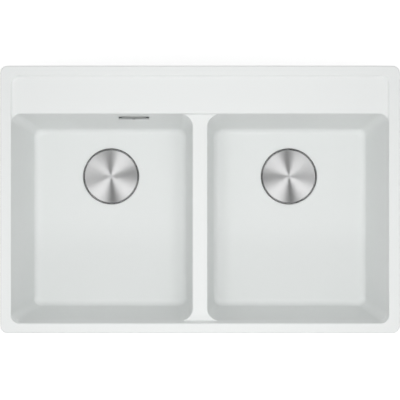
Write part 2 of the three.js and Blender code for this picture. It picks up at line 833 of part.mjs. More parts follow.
// The lifting knob, whose stem passes through the basket's floor and locates on the clamp screw.
function basketKnob() {
  const floor = basketFloor + basketSheet + contactGap;
  const tip = cupFloor + contactGap + clampHeadHeight + contactGap;
  return turned([
    [0, tip],
    [stemSpigotRadius, tip],
    [stemSpigotRadius, floor],
    [stemCollarRadius, floor],
    [stemCollarRadius, floor + stemFillet],
    [stemRadius, floor + 2 * stemFillet],
    [stemRadius, knobTop - knobHeight - knobFlare],
    [knobRadius, knobTop - knobHeight],
    [knobRadius, knobTop - knobEdge],
    [knobRadius - knobEdge, knobTop],
    [0, knobTop],
  ], tinySteps);
}

function basketSeal() {
  const top = basketSealBottom + basketSealThickness;
  return turned([
    [basketSealBore, basketSealBottom + basketSealLip],
    [drainRadius, basketSealBottom],
    [basketSealRadius, basketSealBottom],
    [basketSealRadius, top],
    [basketSealBore, top],
  ], sealSteps);
}

function housingGasket() {
  const top = bossBottom - contactGap;
  const inner = boreRound(cupRadius + sheet, sealSteps);
  return ring(inner, gasketRadius, top - gasketThickness, top, sealSteps);
}

// The plastic bowl below the sink, with its overflow port facing the back.
function wasteHousing() {
  const inner = housingRadius - housingWall;
  const flange = gasketRadius + housingFlangeMargin;
  const outside = turned([
    [0, spigotBottom],
    [spigotRadius, spigotBottom],
    [spigotRadius, spigotTop],
    [housingRadius, funnelTop],
    [housingRadius, housingTop - housingFlange],
    [flange, housingTop - housingFlange],
    [flange, housingTop],
    [0, housingTop],
  ], housingSteps);
  const inside = turned([
    [0, spigotBottom - cutPast],
    [spigotBore, spigotBottom - cutPast],
    [spigotBore, spigotTop],
    [inner, funnelTop],
    [inner, housingTop + cutPast],
    [0, housingTop + cutPast],
  ], housingSteps);
  const along = (made) => solid(geometryOf(made).rotateX(-Math.PI / 2).translate(0, 0, portZ));
  const port = along(rod(portRadius, 0, portReach));
  const portHole = along(rod(portBore, inner - housingWall - cutPast, portReach + cutPast));
  const coreBottom = spigotTop - bossCoreHeight;
  const core = rod(bossCoreRadius, coreBottom, spigotTop);
  const reach = spigotBore + weldDepth;
  const half = webThickness / 2;
  const web = block(-reach, reach, -half, half, coreBottom, spigotTop);
  const crossWeb = solid(geometryOf(web).rotateZ(Math.PI / 2));
  const screwHole = rod(clampScrewRadius + contactGap, coreBottom - cutPast, spigotTop + cutPast);
  const shell = cut(join(outside, port), inside, portHole);
  return cut(join(shell, core, web, crossWeb), screwHole);
}

function clampScrew() {
  const headBottom = cupFloor + contactGap;
  const tip = spigotTop - bossCoreHeight - clampTip;
  return turned([
    [0, tip],
    [clampScrewRadius, tip],
    [clampScrewRadius, headBottom],
    [clampHeadRadius, headBottom],
    [clampHeadRadius, headBottom + clampHeadHeight],
    [0, headBottom + clampHeadHeight],
  ], tinySteps);
}

// ---------------------------------------------------------------- outlet pipework

// A ribbed plastic nut about Z: it covers a thread from its top down to its lip, and the lip holds
// the collar or cuff of a tube at its foot.
function ribbedNut({ radius, ribs, thread, tube, bottom, lip, top }) {
  const steps = ribs * 2;
  const outlinePoints = circlePoints(radius, steps).map(([x, y], i) => {
    const share = i % 2 ? 1 - nutRibDepth : 1;
    return [x * share, y * share];
  });
  const threadHole = rod(boreRound(thread, steps), bottom + lip, top + cutPast, 0, 0, steps);
  const body = cut(plate(outlinePoints, bottom, top), threadHole);
  if (!tube) return body;
  return cut(body, rod(boreRound(tube, steps), bottom - cutPast, top, 0, 0, steps));
}

function outletNut() {
  return ribbedNut({
    radius: nutRadius,
    ribs: nutRibs,
    thread: spigotRadius,
    tube: pipeRadius,
    bottom: collarTop - collarHeight - contactGap - nutLip,
    lip: nutLip,
    top: spigotBottom + threadEngagement,
  });
}

function outletWasher() {
  const top = spigotBottom - contactGap;
  return ring(pipeBore, spigotRadius - contactGap, top - washerThickness, top, sealSteps);
}

// Stations down from the right-hand waste, round the bend and along to the tee at the middle. Both
// ends run on by extra.
function bendStations(radius, extra) {
  const side = new THREE.Vector3(0, 1, 0);
  const x = bowlMiddleX;
  const bendTop = pipeAxisZ + bendRadius;
  const down = new THREE.Vector3(0, 0, -1);
  const inward = new THREE.Vector3(-1, 0, 0);
  const stations = [{ at: new THREE.Vector3(x, wasteY, collarTop + extra), along: down, side, radius }];
  for (let i = 0; i <= bendSteps; i++) {
    const angle = ((Math.PI / 2) * i) / bendSteps;
    const at = new THREE.Vector3(
      x - bendRadius * (1 - Math.cos(angle)),
      wasteY,
      bendTop - bendRadius * Math.sin(angle),
    );
    const along = new THREE.Vector3(-Math.sin(angle), 0, -Math.cos(angle));
    stations.push({ at, along, side, radius });
  }
  const end = teeHalfLength - pipeInsertion - extra;
  stations.push({ at: new THREE.Vector3(end, wasteY, pipeAxisZ), along: inward, side, radius });
  return stations;
}

function outletPipe() {
  const collarBottom = collarTop - collarHeight;
  const collar = rod(collarRadius, collarBottom, collarTop, bowlMiddleX, wasteY, pipeSteps);
  const outside = join(swept(bendStations(pipeRadius, 0)), collar);
  return cut(outside, swept(bendStations(pipeBore, cutPast)));
}

// The tee whose sockets take both pipes, with its threaded outlet pointing down.
function outletTee() {
  const down = (radius, z0, z1) => rod(radius, z0, z1, 0, 0, housingSteps);
  const across = (radius, x0, x1) => solid(geometryOf(down(radius, x0, x1)).rotateY(Math.PI / 2));
  const socket = boreRound(pipeRadius, housingSteps);
  const stop = teeHalfLength - pipeInsertion - contactGap; // shoulder that the pipes' ends meet
  const mouth = teeHalfLength + cutPast;
  const outside = join(
    across(teeRadius, -teeHalfLength, teeHalfLength),
    down(spigotRadius, -teeDrop, 0),
  );
  const inside = join(
    across(pipeBore, -mouth, mouth),
    across(socket, stop, mouth),
    across(socket, -mouth, -stop),
    down(pipeBore, -teeDrop - cutPast, 0),
  );
  return moved(cut(outside, inside), 0, wasteY, pipeAxisZ);
}

// ---------------------------------------------------------------- overflow

// A face plate whose folded top and bottom edges leave both ends open to the water.
function overflowPlate() {
  const front = -overflowStandoff;
  const face = uprightPill(overflowPlateWidth, overflowPlateHeight, front, front + sheet);
  const half = overflowFlangeWidth / 2;
  const fold = (z) => block(-half, half, front, -contactGap, z, z + sheet);
  const edge = overflowPlateHeight / 2;
  const bore = rod(overflowScrewRadius + contactGap, front - cutPast, cutPast);
  const hole = solid(geometryOf(bore).rotateX(-Math.PI / 2));
  const made = cut(join(face, fold(edge - sheet), fold(-edge)), hole);
  const leaning = geometryOf(made).rotateX(-Math.atan(draft));
  return solid(leaning.translate(overflowX, overflowWallY, overflowZ));
}

function overflowScrew() {
  const face = overflowWallY - overflowStandoff - contactGap;
  const backWall = overflowHousingY + overflowFlangePlate + overflowChamberDepth - overflowChamberWall;
  const tip = backWall - overflowScrewReach;
  const top = face - overflowScrewHeadHeight;
  const made = turned([
    [0, tip],
    [overflowScrewRadius, tip],
    [overflowScrewRadius, face],
    [overflowScrewHead, face],
    [overflowScrewHead - overflowScrewHeadHeight, top],
    [0, top],
  ], tinySteps);
  return solid(geometryOf(made).rotateX(-Math.PI / 2).translate(overflowX, 0, overflowZ));
}

function overflowGasket() {
  const start = overflowSeatY + contactGap;
  const end = start + overflowGasketThickness;
  const inset = 2 * overflowGasketMargin;
  const growth = 2 * overflowGasketBore;
  const outer = uprightPill(overflowSeatWidth - inset, overflowSeatHeight - inset, start, end);
  const inner = uprightPill(
    overflowSlotWidth + growth,
    overflowSlotHeight + growth,
    start - cutPast,
    end + cutPast,
  );
  return moved(cut(outer, inner), overflowX, 0, overflowZ);
}

// The plastic chamber behind the bowl, with a spigot down to the hose.
function overflowHousing() {
  const y0 = overflowHousingY;
  const y1 = y0 + overflowFlangePlate;
  const y2 = y1 + overflowChamberDepth;
  const wall = overflowChamberWall;
  const width = overflowSlotWidth; // the chamber's inside
  const height = overflowSlotHeight + overflowChamberExtra;
  const inset = 2 * overflowFlangeMargin;
  const flange = uprightPill(overflowSeatWidth - inset, overflowSeatHeight - inset, y0, y1);
  const chamber = uprightPill(width + 2 * wall, height + 2 * wall, y1 - weldDepth, y2);
  const hollow = uprightPill(width, height, y0 - cutPast, y2 - wall);
  const foot = overflowSpigotBottom - overflowZ;
  const spigot = rod(portRadius, foot, -height / 2, 0, overflowSpigotY, smallSteps);
  const bore = rod(portBore, foot - cutPast, 0, 0, overflowSpigotY, smallSteps);
  const lying = (radius, start, end) => solid(geometryOf(rod(radius, start, end)).rotateX(-Math.PI / 2));
  const post = lying(overflowPostRadius, y1, y2 - wall + weldDepth);
  const screwHole = lying(overflowScrewRadius + contactGap, y0 - cutPast, y2 - wall - cutPast);
  const shell = cut(join(flange, chamber, spigot), hollow, bore);
  return moved(cut(join(shell, cut(post, bore)), screwHole), overflowX, 0, overflowZ);
}

// The hose's route: straight down from the overflow's spigot, and round to the port of the
// left-hand waste, which it meets from behind.
const hoseTop = new THREE.Vector3(overflowX, overflowSpigotY, overflowSpigotBottom - contactGap);
const hoseFoot = new THREE.Vector3(-bowlMiddleX, wasteY + portReach + contactGap, portZ);
const below = (point, by) => point.clone().add(new THREE.Vector3(0, 0, -by));
const behind = (point, by) => point.clone().add(new THREE.Vector3(0, by, 0));
const hoseRoute = new THREE.CurvePath();
hoseRoute.add(new THREE.LineCurve3(hoseTop, below(hoseTop, hoseCuff)));
hoseRoute.add(new THREE.CubicBezierCurve3(
  below(hoseTop, hoseCuff),
  below(hoseTop, hoseTopReach),
  behind(hoseFoot, hoseFootReach),
  behind(hoseFoot, hoseCuff),
));
hoseRoute.add(new THREE.LineCurve3(behind(hoseFoot, hoseCuff), hoseFoot));

// A ribbed flexible hose with a smooth cuff at each end.
function overflowHose() {
  const length = hoseRoute.getLength();
  const ribbed = length - 2 * hoseCuff;
  const halfRibs = 2 * Math.round(ribbed / hosePitch);
  const places = [
    { distance: 0, radius: hoseEndRadius },
    { distance: hoseCuff, radius: hoseEndRadius },
  ];
  for (let i = 1; i < halfRibs; i++) {
    const radius = i % 2 ? hoseRadius : hoseValley;
    places.push({ distance: hoseCuff + (ribbed * i) / halfRibs, radius });
  }
  places.push({ distance: length - hoseCuff, radius: hoseEndRadius });
  places.push({ distance: length, radius: hoseEndRadius });
  const side = new THREE.Vector3(1, 0, 0);
  const stations = places.map(({ distance, radius }) => {
    const share = Math.min(distance / length, 1);
    const along = hoseRoute.getTangentAt(share);
    side.addScaledVector(along, -side.dot(along)).normalize();
    return { at: hoseRoute.getPointAt(share), along, side: side.clone(), radius };
  });
  return swept(stations, smallSteps);
}

// A union nut that holds a hose's cuff on a spigot, made about +Z with the spigot above it.
function hoseNut() {
  return ribbedNut({
    radius: hoseNutRadius,
    ribs: hoseNutRibs,
    thread: portRadius,
    tube: hoseEndRadius + hoseSlack,
    bottom: hoseNutGrip - hoseNutHeight,
    lip: hoseNutHeight - hoseNutGrip - contactGap,
    top: hoseNutGrip,
  });
}

function upperHoseNut() {
  return moved(hoseNut(), overflowX, overflowSpigotY, overflowSpigotBottom);
}

// Turns a nut made about +Z onto the mouth of a waste's port.
function onPort(made, x) {
  return solid(geometryOf(made).rotateX(Math.PI / 2).translate(x, wasteY + portReach, portZ));
}

const lowerHoseNut = () => onPort(hoseNut(), -bowlMiddleX);

// The cap that closes the right-hand waste's unused port.
function portCap() {
  const made = ribbedNut({
    radius: hoseNutRadius,
    ribs: hoseNutRibs,
    thread: portRadius,
    bottom: -portCapEnd,
    lip: portCapEnd - contactGap,
    top: hoseNutGrip,
  });
  return onPort(made, bowlMiddleX);
}

// ---------------------------------------------------------------- clips, in their own frame

// Pressed steel seat plate with two ears and the pivot pin between them.
function clipBracket() {
  const half = clipPlateWidth / 2;
  const front = contactGap + clipSheet;
  const back = block(contactGap, front, -half, half, -clipPlateBottom, -clipPlateTop);
  const earStart = front - clipSheet / 2;
  const earEnd = clipPivotReach + clipPinRadius + clipEarMargin;
  const earTop = clipEarHeight - clipPlateBottom;
  const ear = (y) => block(earStart, earEnd, y, y + clipSheet, -clipPlateBottom, earTop);
  const pinBar = geometryOf(rod(clipPinRadius, -half, half, 0, 0, tinySteps)).rotateX(Math.PI / 2);
  const pin = solid(pinBar.translate(clipPivotReach, 0, -clipPivotDrop));
  const bore = rod(clipScrewRadius + contactGap, -cutPast, front + cutPast, 0, 0, tinySteps);
  const hole = solid(geometryOf(bore).rotateY(Math.PI / 2).translate(0, 0, -clipScrewDrop));
  return cut(join(back, ear(-half), ear(half - clipSheet), pin), hole);
}

// The sprung claw: an eye on the pin and a toothed arm that leans out under the worktop.
function clipClaw() {
  const half = clipClawWidth / 2;
  const across = (made) => solid(geometryOf(made).rotateX(Math.PI / 2));
  const end = half + cutPast;
  const eye = across(rod(clipEyeRadius, -half, half, 0, 0, tinySteps));
  const hole = across(rod(clipPinRadius + clipEyeClearance, -end, end, 0, 0, tinySteps));
  const lean = THREE.MathUtils.degToRad(clipLeanDeg);
  const armLength = (clipPivotDrop - clipClawTop) / Math.cos(lean);
  const outlinePoints = [
    [clipEyeRadius - clipSheet, 0],
    [clipEyeRadius, 0],
  ];
  const firstTooth = armLength - clipToothCount * clipToothPitch;
  for (let i = 0; i < clipToothCount; i++) {
    const start = firstTooth + i * clipToothPitch;
    const crest = start + clipToothPitch * clipToothRise;
    outlinePoints.push([clipEyeRadius, start], [clipEyeRadius + clipToothHeight, crest]);
  }
  outlinePoints.push([clipEyeRadius, armLength], [clipEyeRadius - clipSheet, armLength]);
  const arm = across(plate(outlinePoints, -half, half));
  const leaning = solid(geometryOf(arm).rotateY(lean));
  const made = cut(join(eye, leaning), hole);
  return moved(made, clipPivotReach, 0, -clipPivotDrop);
}

function clipScrew() {
  const seat = contactGap + clipSheet + contactGap;
  const made = turned([
    [0, -clipScrewDepth],
    [clipScrewRadius, -clipScrewDepth],
    [clipScrewRadius, seat],
    [clipScrewHead, seat],
    [clipScrewHead, seat + clipScrewHeadHeight],
    [0, seat + clipScrewHeadHeight],
  ], tinySteps);
  return solid(geometryOf(made).rotateY(Math.PI / 2).translate(0, 0, -clipScrewDrop));
}

// ---------------------------------------------------------------- materials

const finish = (color, roughness, metalness = 0) =>
  new THREE.MeshStandardMaterial({ color, roughness, metalness });
const composite = finish(0xeceeed, 0.5);
const brushedSteel = finish(0xc4c5c6, 0.35, 1);
const polishedSteel = finish(0xb4b6b8, 0.2, 1);
const zincPlate = finish(0xa9adb0, 0.4, 1);
const blackRubber = finish(0x1d1d1e, 0.8);
const greyFoam = finish(0x55585a, 0.9);
const whitePlastic = finish(0xe6e6e3, 0.45);
const greyPlastic = finish(0x9da1a3, 0.5);

// ---------------------------------------------------------------- assembly

const sink = new THREE.Group();

function add(name, made, material, parent = sink) {
  const mesh = new THREE.Mesh(geometryOf(made), material);
  mesh.name = name;
  parent.add(mesh);
  return mesh;
}

add("sink_body", sinkShell(), composite);
add("rim_seal", rimSeal(), greyFoam);

// Both wastes are alike, apart from what closes their overflow ports.
const wastePieces = [
  ["waste_flange", wasteFlange(), polishedSteel],
  ["flange_seal", flangeSeal(), blackRubber],
  ["drain_cover", drainCover(), brushedSteel],
  ["basket_strainer", basketStrainer(), polishedSteel],
  ["basket_knob", basketKnob(), polishedSteel],
  ["basket_seal", basketSeal(), blackRubber],
  ["housing_gasket", housingGasket(), blackRubber],
  ["waste_housing", wasteHousing(), whitePlastic],
  ["clamp_screw", clampScrew(), polishedSteel],
  ["outlet_nut", outletNut(), greyPlastic],
  ["outlet_washer", outletWasher(), blackRubber],
];
const rightPipe = outletPipe();
const pipes = { left: mirrored(rightPipe)[0], right: rightPipe };
for (const [sideName, side] of [["left", -1], ["right", 1]]) {
  const waste = new THREE.Group();
  waste.position.set(side * bowlMiddleX, wasteY, 0);
  sink.add(waste);
  for (const [name, made, material] of wastePieces) add(`${sideName}_${name}`, made, material, waste);
  add(`${sideName}_outlet_pipe`, pipes[sideName], whitePlastic);
}
add("outlet_tee", outletTee(), whitePlastic);

add("overflow_plate", overflowPlate(), brushedSteel);
add("overflow_screw", overflowScrew(), polishedSteel);
add("overflow_gasket", overflowGasket(), blackRubber);
add("overflow_housing", overflowHousing(), whitePlastic);
add("overflow_hose", overflowHose(), greyPlastic);
add("upper_hose_nut", upperHoseNut(), greyPlastic);
add("lower_hose_nut", lowerHoseNut(), greyPlastic);
add("port_cap", portCap(), greyPlastic);

const clipPieces = [
  ["clip_bracket", clipBracket(), zincPlate],
  ["clip_claw", clipClaw(), zincPlate],
  ["clip_screw", clipScrew(), zincPlate],
];
for (const { name: placeName, x, y, facing } of clipPlaces) {
  const clip = new THREE.Group();
  clip.position.set(x, y, 0);
  clip.rotation.z = THREE.MathUtils.degToRad(facing);
  sink.add(clip);
  for (const [name, made, material] of clipPieces) add(`${name}_${placeName}`, made, material, clip);
}

export default sink;
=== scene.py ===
"""Double bowl kitchen sink: its moulded shell, wastes, pipework, overflow and clips, with materials.

Sizes are in millimetres, and every mesh is made in metres. +Z is up and +Y is the back. The
origin is the centre of the worktop cut-out, in the worktop's top plane.
"""

from math import atan, cos, degrees, pi, radians, sin, tan

import bmesh
import bpy
from mathutils import Matrix, Vector


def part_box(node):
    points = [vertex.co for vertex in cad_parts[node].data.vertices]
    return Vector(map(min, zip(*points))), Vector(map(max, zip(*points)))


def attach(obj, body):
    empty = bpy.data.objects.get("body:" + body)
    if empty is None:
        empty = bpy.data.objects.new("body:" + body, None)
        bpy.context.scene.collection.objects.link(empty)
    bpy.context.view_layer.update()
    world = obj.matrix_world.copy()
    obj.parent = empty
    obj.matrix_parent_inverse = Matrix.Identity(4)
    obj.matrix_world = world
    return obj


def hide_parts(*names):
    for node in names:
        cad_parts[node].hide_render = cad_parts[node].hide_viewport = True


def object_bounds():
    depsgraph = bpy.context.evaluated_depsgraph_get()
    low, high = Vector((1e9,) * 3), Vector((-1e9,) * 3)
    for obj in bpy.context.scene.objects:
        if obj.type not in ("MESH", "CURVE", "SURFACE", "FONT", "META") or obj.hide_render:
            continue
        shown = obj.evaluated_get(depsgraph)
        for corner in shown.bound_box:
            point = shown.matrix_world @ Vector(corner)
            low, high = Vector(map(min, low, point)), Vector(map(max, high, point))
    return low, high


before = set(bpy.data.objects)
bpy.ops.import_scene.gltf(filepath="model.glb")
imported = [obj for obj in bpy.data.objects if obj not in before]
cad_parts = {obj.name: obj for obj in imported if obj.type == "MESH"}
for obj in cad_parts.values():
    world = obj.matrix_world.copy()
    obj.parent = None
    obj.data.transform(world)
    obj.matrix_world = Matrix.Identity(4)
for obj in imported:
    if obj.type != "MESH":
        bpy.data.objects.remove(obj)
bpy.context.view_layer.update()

MM = 0.001


def box_mm(node):
    """Lowest and highest corner of a CAD node, in millimetres."""
    low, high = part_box(node)
    return Vector(low) / MM, Vector(high) / MM


def add_object(name, data):
    made = bpy.data.objects.new(name, data)
    bpy.context.collection.objects.link(made)
    return made


# -------------------- sizes

GAP = 0.3  # between two pieces that rest on or seal against each other

RIM_THICKNESS = 7
RIM_BANDS = (21.4, -21.4, 19.6, -19.5)  # left, right, front and back
RIM_CORNER = 14
RIM_EDGE = 2.5
RIM_FOOT = 1
INNER_EDGE = 2
DIVIDER_EDGE = 3
RECESS_CORNER = 16
LEDGE_DROP = 5
LEDGE_FILLET = 4.5
LEDGE_WIDTH = 74.2
LEDGE_EDGE = 4.5  # round edge from the ledge down to the bowls
DIVIDER_DROP = 18
DIVIDER_WIDTH = 30
FRONT_STEP = 2.9
BOWL_DEPTH = 200
DRAFT = tan(radians(3))
BOWL_OUTER_CORNER = 18
BOWL_INNER_CORNER = 24
OUTER_TAPER = 0.05  # how much of the inset the bowls' corners lose towards the floor
INNER_TAPER = 0.4
FLOOR_FILLET = 13
FOOT_MORE = (3.7, 3, 0.5, 6)  # how far the bowls' walls lean in: divider, outer, front and back
OUTER_FILLET = 19  # under the bowls
FLOOR_FALL = 2
WALL = 7
FLOOR = 9
SLAB = 8

OVERHANG = 8
SEAL_THICKNESS = 1.5
SEAL_INSET = 1.2
SEAL_WIDTH = 5
TAP_HOLE = 17.5
TAP_SKIN = 3
TAP_PITCH = 150

SHEET = 1.2
LIP = 60.6
LIP_BEAD = 3
LIP_SINK = 0.5
SHELF_DROP = 5
CUP = 44
CUP_FLOOR = 42.5
CUP_DEPTH = 30
DRAIN = 24
HUB = 9
HUB_HEIGHT = 3
SPOKE_WIDTH = 4
SPOKES = 4
FLANGE_EDGE = 0.55
SEAT_CLEARANCE = 0.6
FLANGE_SEAL = 1.4
BOSS_THICKNESS = 14
BOSS = 66

COVER_GAP = 1.2
COVER_THICKNESS = 1.5
COVER_PROUD = 0.6
COVER_EDGE = 0.5
COVER_FEET = 4
FOOT_WIDTH = 9
FOOT_INSET = 5

BASKET_RIM = 41
BASKET_TOP = 36.5
BASKET_FLOOR = 34
BASKET_DEPTH = 19
BASKET_SHEET = 1
BASKET_EDGE = 0.7
WALL_SLOTS = 10
SLOT_SHIFT = 0.25  # share of a slot's pitch that the first slot is turned by
WALL_SLOT = (3, 11)
FLOOR_HOLE = 2.6
HOLE_RING = BASKET_FLOOR - 5
HOLE_PITCH = 14
SEAL_PAD = 4
SEAL_PAD_RADIUS = 28
SEAL_PAD_BORE = 11
STEM = 4
KNOB = 9
KNOB_HEIGHT = 5
KNOB_EDGE = 1.1
KNOB_CLEARANCE = 7

GASKET = 2
GASKET_RADIUS = 57
HOUSING_FLANGE = 4
HOUSING = 51.5
HOUSING_WALL = 3
HOUSING_DEPTH = 18
FUNNEL_DEPTH = 13
SPIGOT = 23.9
SPIGOT_BORE = 20
SPIGOT_LENGTH = 22
CORE = 7
CORE_HEIGHT = 12
WEB = 3
WEBS = 4
PORT_HEIGHT = 15.5
PORT_REACH = 72
PORT = 11
PORT_BORE = 7.5
CLAMP_SCREW = 3
CLAMP_HEAD = 6.5
CLAMP_HEAD_HEIGHT = 2.6
CLAMP_CROSS = (3.6, 1.6)  # half length and depth

WASHER = 2
PIPE = 20
PIPE_BORE = 18
COLLAR = 23.4
COLLAR_HEIGHT = 3
BEND = 32
BEND_STEPS = 16
NUT = 29
NUT_LIP = 2.7
NUT_RIBS = 10
NUT_EDGE = 0.9
RIB_DEPTH = 0.06  # share of a nut's radius
RIB_STEPS = 14
ENGAGEMENT = 12
TEE_HALF = 44
TEE_DROP = 44
INSERTION = 22
THREAD_PITCH = 2.309
THREAD_DEPTH = 0.8
THREAD_CREST = (0.4, 0.6)  # shares of the pitch

OVERFLOW_DROP = 52.5
PLATE_WIDTH = 62
PLATE_HEIGHT = 16
PLATE_CORNER = 3
SHADE_SPACER = (24.6, 29.6)  # black rubber spacers at the plate's ends, from the plate's middle; they hold the plate off the wall, and their black is painted shade where the gap at the ends is only in shadow
SHADE_SPACER_HEIGHT = 10
SHADOW_STRIP = (0.6, 0.7)  # width and height of the black strip between the spacers, on the top fold behind the plate: painted shadow along the gap to the wall
FOLD_WIDTH = 48
STANDOFF = 3.6
SLOT_WIDTH = 54
SLOT_HEIGHT = 11
SEAT_WIDTH = 78
SEAT_HEIGHT = 34
SEAT_DEPTH = 9.5
OVERFLOW_GASKET = 1.8
GASKET_MARGIN = 3.5  # gasket's edge inside the seat's
GASKET_BORE = 1  # gasket's opening outside the slot's edge
FLANGE_PLATE = 3.6
FLANGE_MARGIN = 1.5
CHAMBER_DEPTH = 19
CHAMBER_WALL = 3
CHAMBER_MORE = 4  # how much taller the chamber is than the slot
OVERFLOW_SPIGOT = 16
OVERFLOW_SCREW = 2.4
OVERFLOW_HEAD = ((0.6, 0.6), (1.4, 0.4), (2, 0))  # how much wider than the screw, and how high
OVERFLOW_CROSS = (2, 0.45)  # half length and half width
HOSE = 10
HOSE_VALLEY = 8.2
HOSE_END = 9.4
HOSE_STEPS = 420
CURVE_STEPS = 200
HOSE_PITCH = 6
CUFF = 14
HOSE_NUT = 15
HOSE_NUT_HEIGHT = 16
HOSE_NUT_GRIP = 9
HOSE_NUT_RIBS = 8
HOSE_TOP_REACH = 95
HOSE_FOOT_REACH = 62
CAP_END = 3

CLIP_ROOM = 6.5
CLIP_PLATE = (22, -70, -20)  # width, lowest and highest
CLIP_SHEET = 1.5
CLIP_CORNERS = (2, 3, 3, 2)
EAR_CORNERS = (3, 2.5, 0.1, 0.1)
PIVOT_DROP = 64
PIVOT_REACH = 5
EAR_RISE = 6  # above the pivot
PIN = 1.5
EYE = 2.8
CLAW_WIDTH = 16
CLAW_TOP = 31
CLAW_LEAN = 6  # degrees
TOOTH = (1.4, 3, 6, 0.85)  # height, count, pitch, and how far up its pitch the tip is
CLIP_SCREW_DROP = 26
CLIP_SCREW = 1.9
CLIP_SCREW_DEPTH = 4.6
CLIP_HEAD = 3.9
CLIP_HEAD_HEIGHT = 2.3
CLIP_CROSS = (2.3, 1.3)
LUG = (11, 32, 74, 4)  # thickness, width, drop and taper
RIB = 6

CORNER_STEPS = 14
FILLET_STEPS = 7
COVER_STEPS = 160
PIPE_STEPS = 96
ROUND = 128
SMALL = 48
ON_AXIS = 1e-6

# -------------------- places

shell_low, shell_high = box_mm("sink_body")
RIM_TOP = shell_high.z
RIM_BOTTOM = RIM_TOP - RIM_THICKNESS
LEDGE_TOP = RIM_TOP - LEDGE_DROP
DIVIDER_TOP = RIM_TOP - DIVIDER_DROP
FLOOR_TOP = RIM_TOP - BOWL_DEPTH
FLOOR_LOW = FLOOR_TOP - FLOOR_FALL

# Rectangles are (left, right, front, back).
WHOLE = (shell_low.x, shell_high.x, shell_low.y, shell_high.y)
RECESS = tuple(side + band for side, band in zip(WHOLE, RIM_BANDS))
BOWL_BACK = RECESS[3] - LEDGE_WIDTH
BOWL = (DIVIDER_WIDTH / 2, RECESS[1], RECESS[2] + FRONT_STEP, BOWL_BACK)
cover_box = box_mm("right_drain_cover")
WASTE_X = sum(corner.x for corner in cover_box) / 2
WASTE_Y = sum(corner.y for corner in cover_box) / 2

LIP_TOP = FLOOR_LOW + LIP_SINK
SHELF_TOP = LIP_TOP - SHELF_DROP
CUP_BOTTOM = LIP_TOP - CUP_DEPTH
SEAT_STEP = SHELF_TOP - SHEET - GAP - FLANGE_SEAL - GAP
BOSS_BOTTOM = LIP_TOP - BOSS_THICKNESS
HOUSING_TOP = BOSS_BOTTOM - GAP - GASKET - GAP
FUNNEL_TOP = HOUSING_TOP - HOUSING_FLANGE - HOUSING_DEPTH
SPIGOT_TOP = FUNNEL_TOP - FUNNEL_DEPTH
SPIGOT_BOTTOM = SPIGOT_TOP - SPIGOT_LENGTH
PORT_Z = HOUSING_TOP - PORT_HEIGHT
COLLAR_TOP = SPIGOT_BOTTOM - GAP - WASHER - GAP
PIPE_Z = COLLAR_TOP - COLLAR_HEIGHT - GAP - NUT_LIP - BEND
GAP_WALL = LIP - LIP_BEAD
COVER = GAP_WALL - COVER_GAP
PAD_BOTTOM = CUP_BOTTOM + GAP
BASKET_BOTTOM = PAD_BOTTOM + SEAL_PAD + GAP
COVER_TOP = LIP_TOP + COVER_PROUD
COVER_BOTTOM = COVER_TOP - COVER_THICKNESS
KNOB_TOP = COVER_BOTTOM - KNOB_CLEARANCE

OVERFLOW_X = sum(corner.x for corner in box_mm("overflow_plate")) / 2
OVERFLOW_Z = RIM_TOP - OVERFLOW_DROP
OVERFLOW_SEAT = BOWL_BACK + SEAT_DEPTH
OVERFLOW_LEAN = FOOT_MORE[3] / (DIVIDER_TOP - FLOOR_TOP)
OVERFLOW_WALL = BOWL_BACK - (DIVIDER_TOP - OVERFLOW_Z) * (DRAFT + OVERFLOW_LEAN)
HOUSING_Y = OVERFLOW_SEAT + GAP + OVERFLOW_GASKET + GAP
SPIGOT_Y = HOUSING_Y + FLANGE_PLATE + CHAMBER_DEPTH / 2
HOSE_Z = OVERFLOW_Z - SEAT_HEIGHT / 2 - OVERFLOW_SPIGOT

# -------------------- camera, at the photograph's angle

CAMERA_ABOVE_RIM = 1891  # from how much smaller the bowls' floors look than their tops
CAMERA_LENS = 87.3
CAMERA_SENSOR = 36
CAMERA_Y = -1.1

camera_data = bpy.data.cameras.new("camera")
camera_data.lens = CAMERA_LENS
camera_data.sensor_width = CAMERA_SENSOR
camera_data.clip_start = 0.05
camera = add_object("camera", camera_data)
camera.location = (0, CAMERA_Y * MM, (RIM_TOP + CAMERA_ABOVE_RIM) * MM)
bpy.context.scene.camera = camera

# -------------------- mesh tools


def new_piece(name, vertices, faces):
    """An object of a closed mesh, from vertices in millimetres."""
    mesh = bpy.data.meshes.new(name)
    mesh.from_pydata([Vector(v) * MM for v in vertices], [], faces)
    tidy = bmesh.new()
    tidy.from_mesh(mesh)
    bmesh.ops.remove_doubles(tidy, verts=tidy.verts, dist=1e-7)
    bmesh.ops.recalc_face_normals(tidy, faces=tidy.faces)
    tidy.to_mesh(mesh)
    tidy.free()
    return add_object(name, mesh)


def rounded_box(rect, radii, steps=CORNER_STEPS):
    """Outline of a rectangle with round corners: front right, back right, back left, front left."""
    left, right, front, back = rect
    corners = (
        (right, front, -1, 1, -90),
        (right, back, -1, -1, 0),
        (left, back, 1, -1, 90),
        (left, front, 1, 1, 180),
    )
    points = []
    for (x, y, in_x, in_y, start), radius in zip(corners, radii):
        for i in range(steps + 1):
            angle = radians(start + 90 * i / steps)
            points.append((
                x + in_x * radius + radius * cos(angle),
                y + in_y * radius + radius * sin(angle),
            ))
    return points


def grown(rect, left=0, right=0, front=0, back=0):
    return rect[0] - left, rect[1] + right, rect[2] - front, rect[3] + back


def grown_all(rect, by):
    return grown(rect, by, by, by, by)


def bands(loops, count, closed=False):
    """Faces between each loop of so many points and the next, and back to the first if closed."""
    faces = []
    for low in range(loops if closed else loops - 1):
        high = (low + 1) % loops
        for i in range(count):
            j = (i + 1) % count
            faces.append((low * count + i, low * count + j, high * count + j, high * count + i))
    return faces


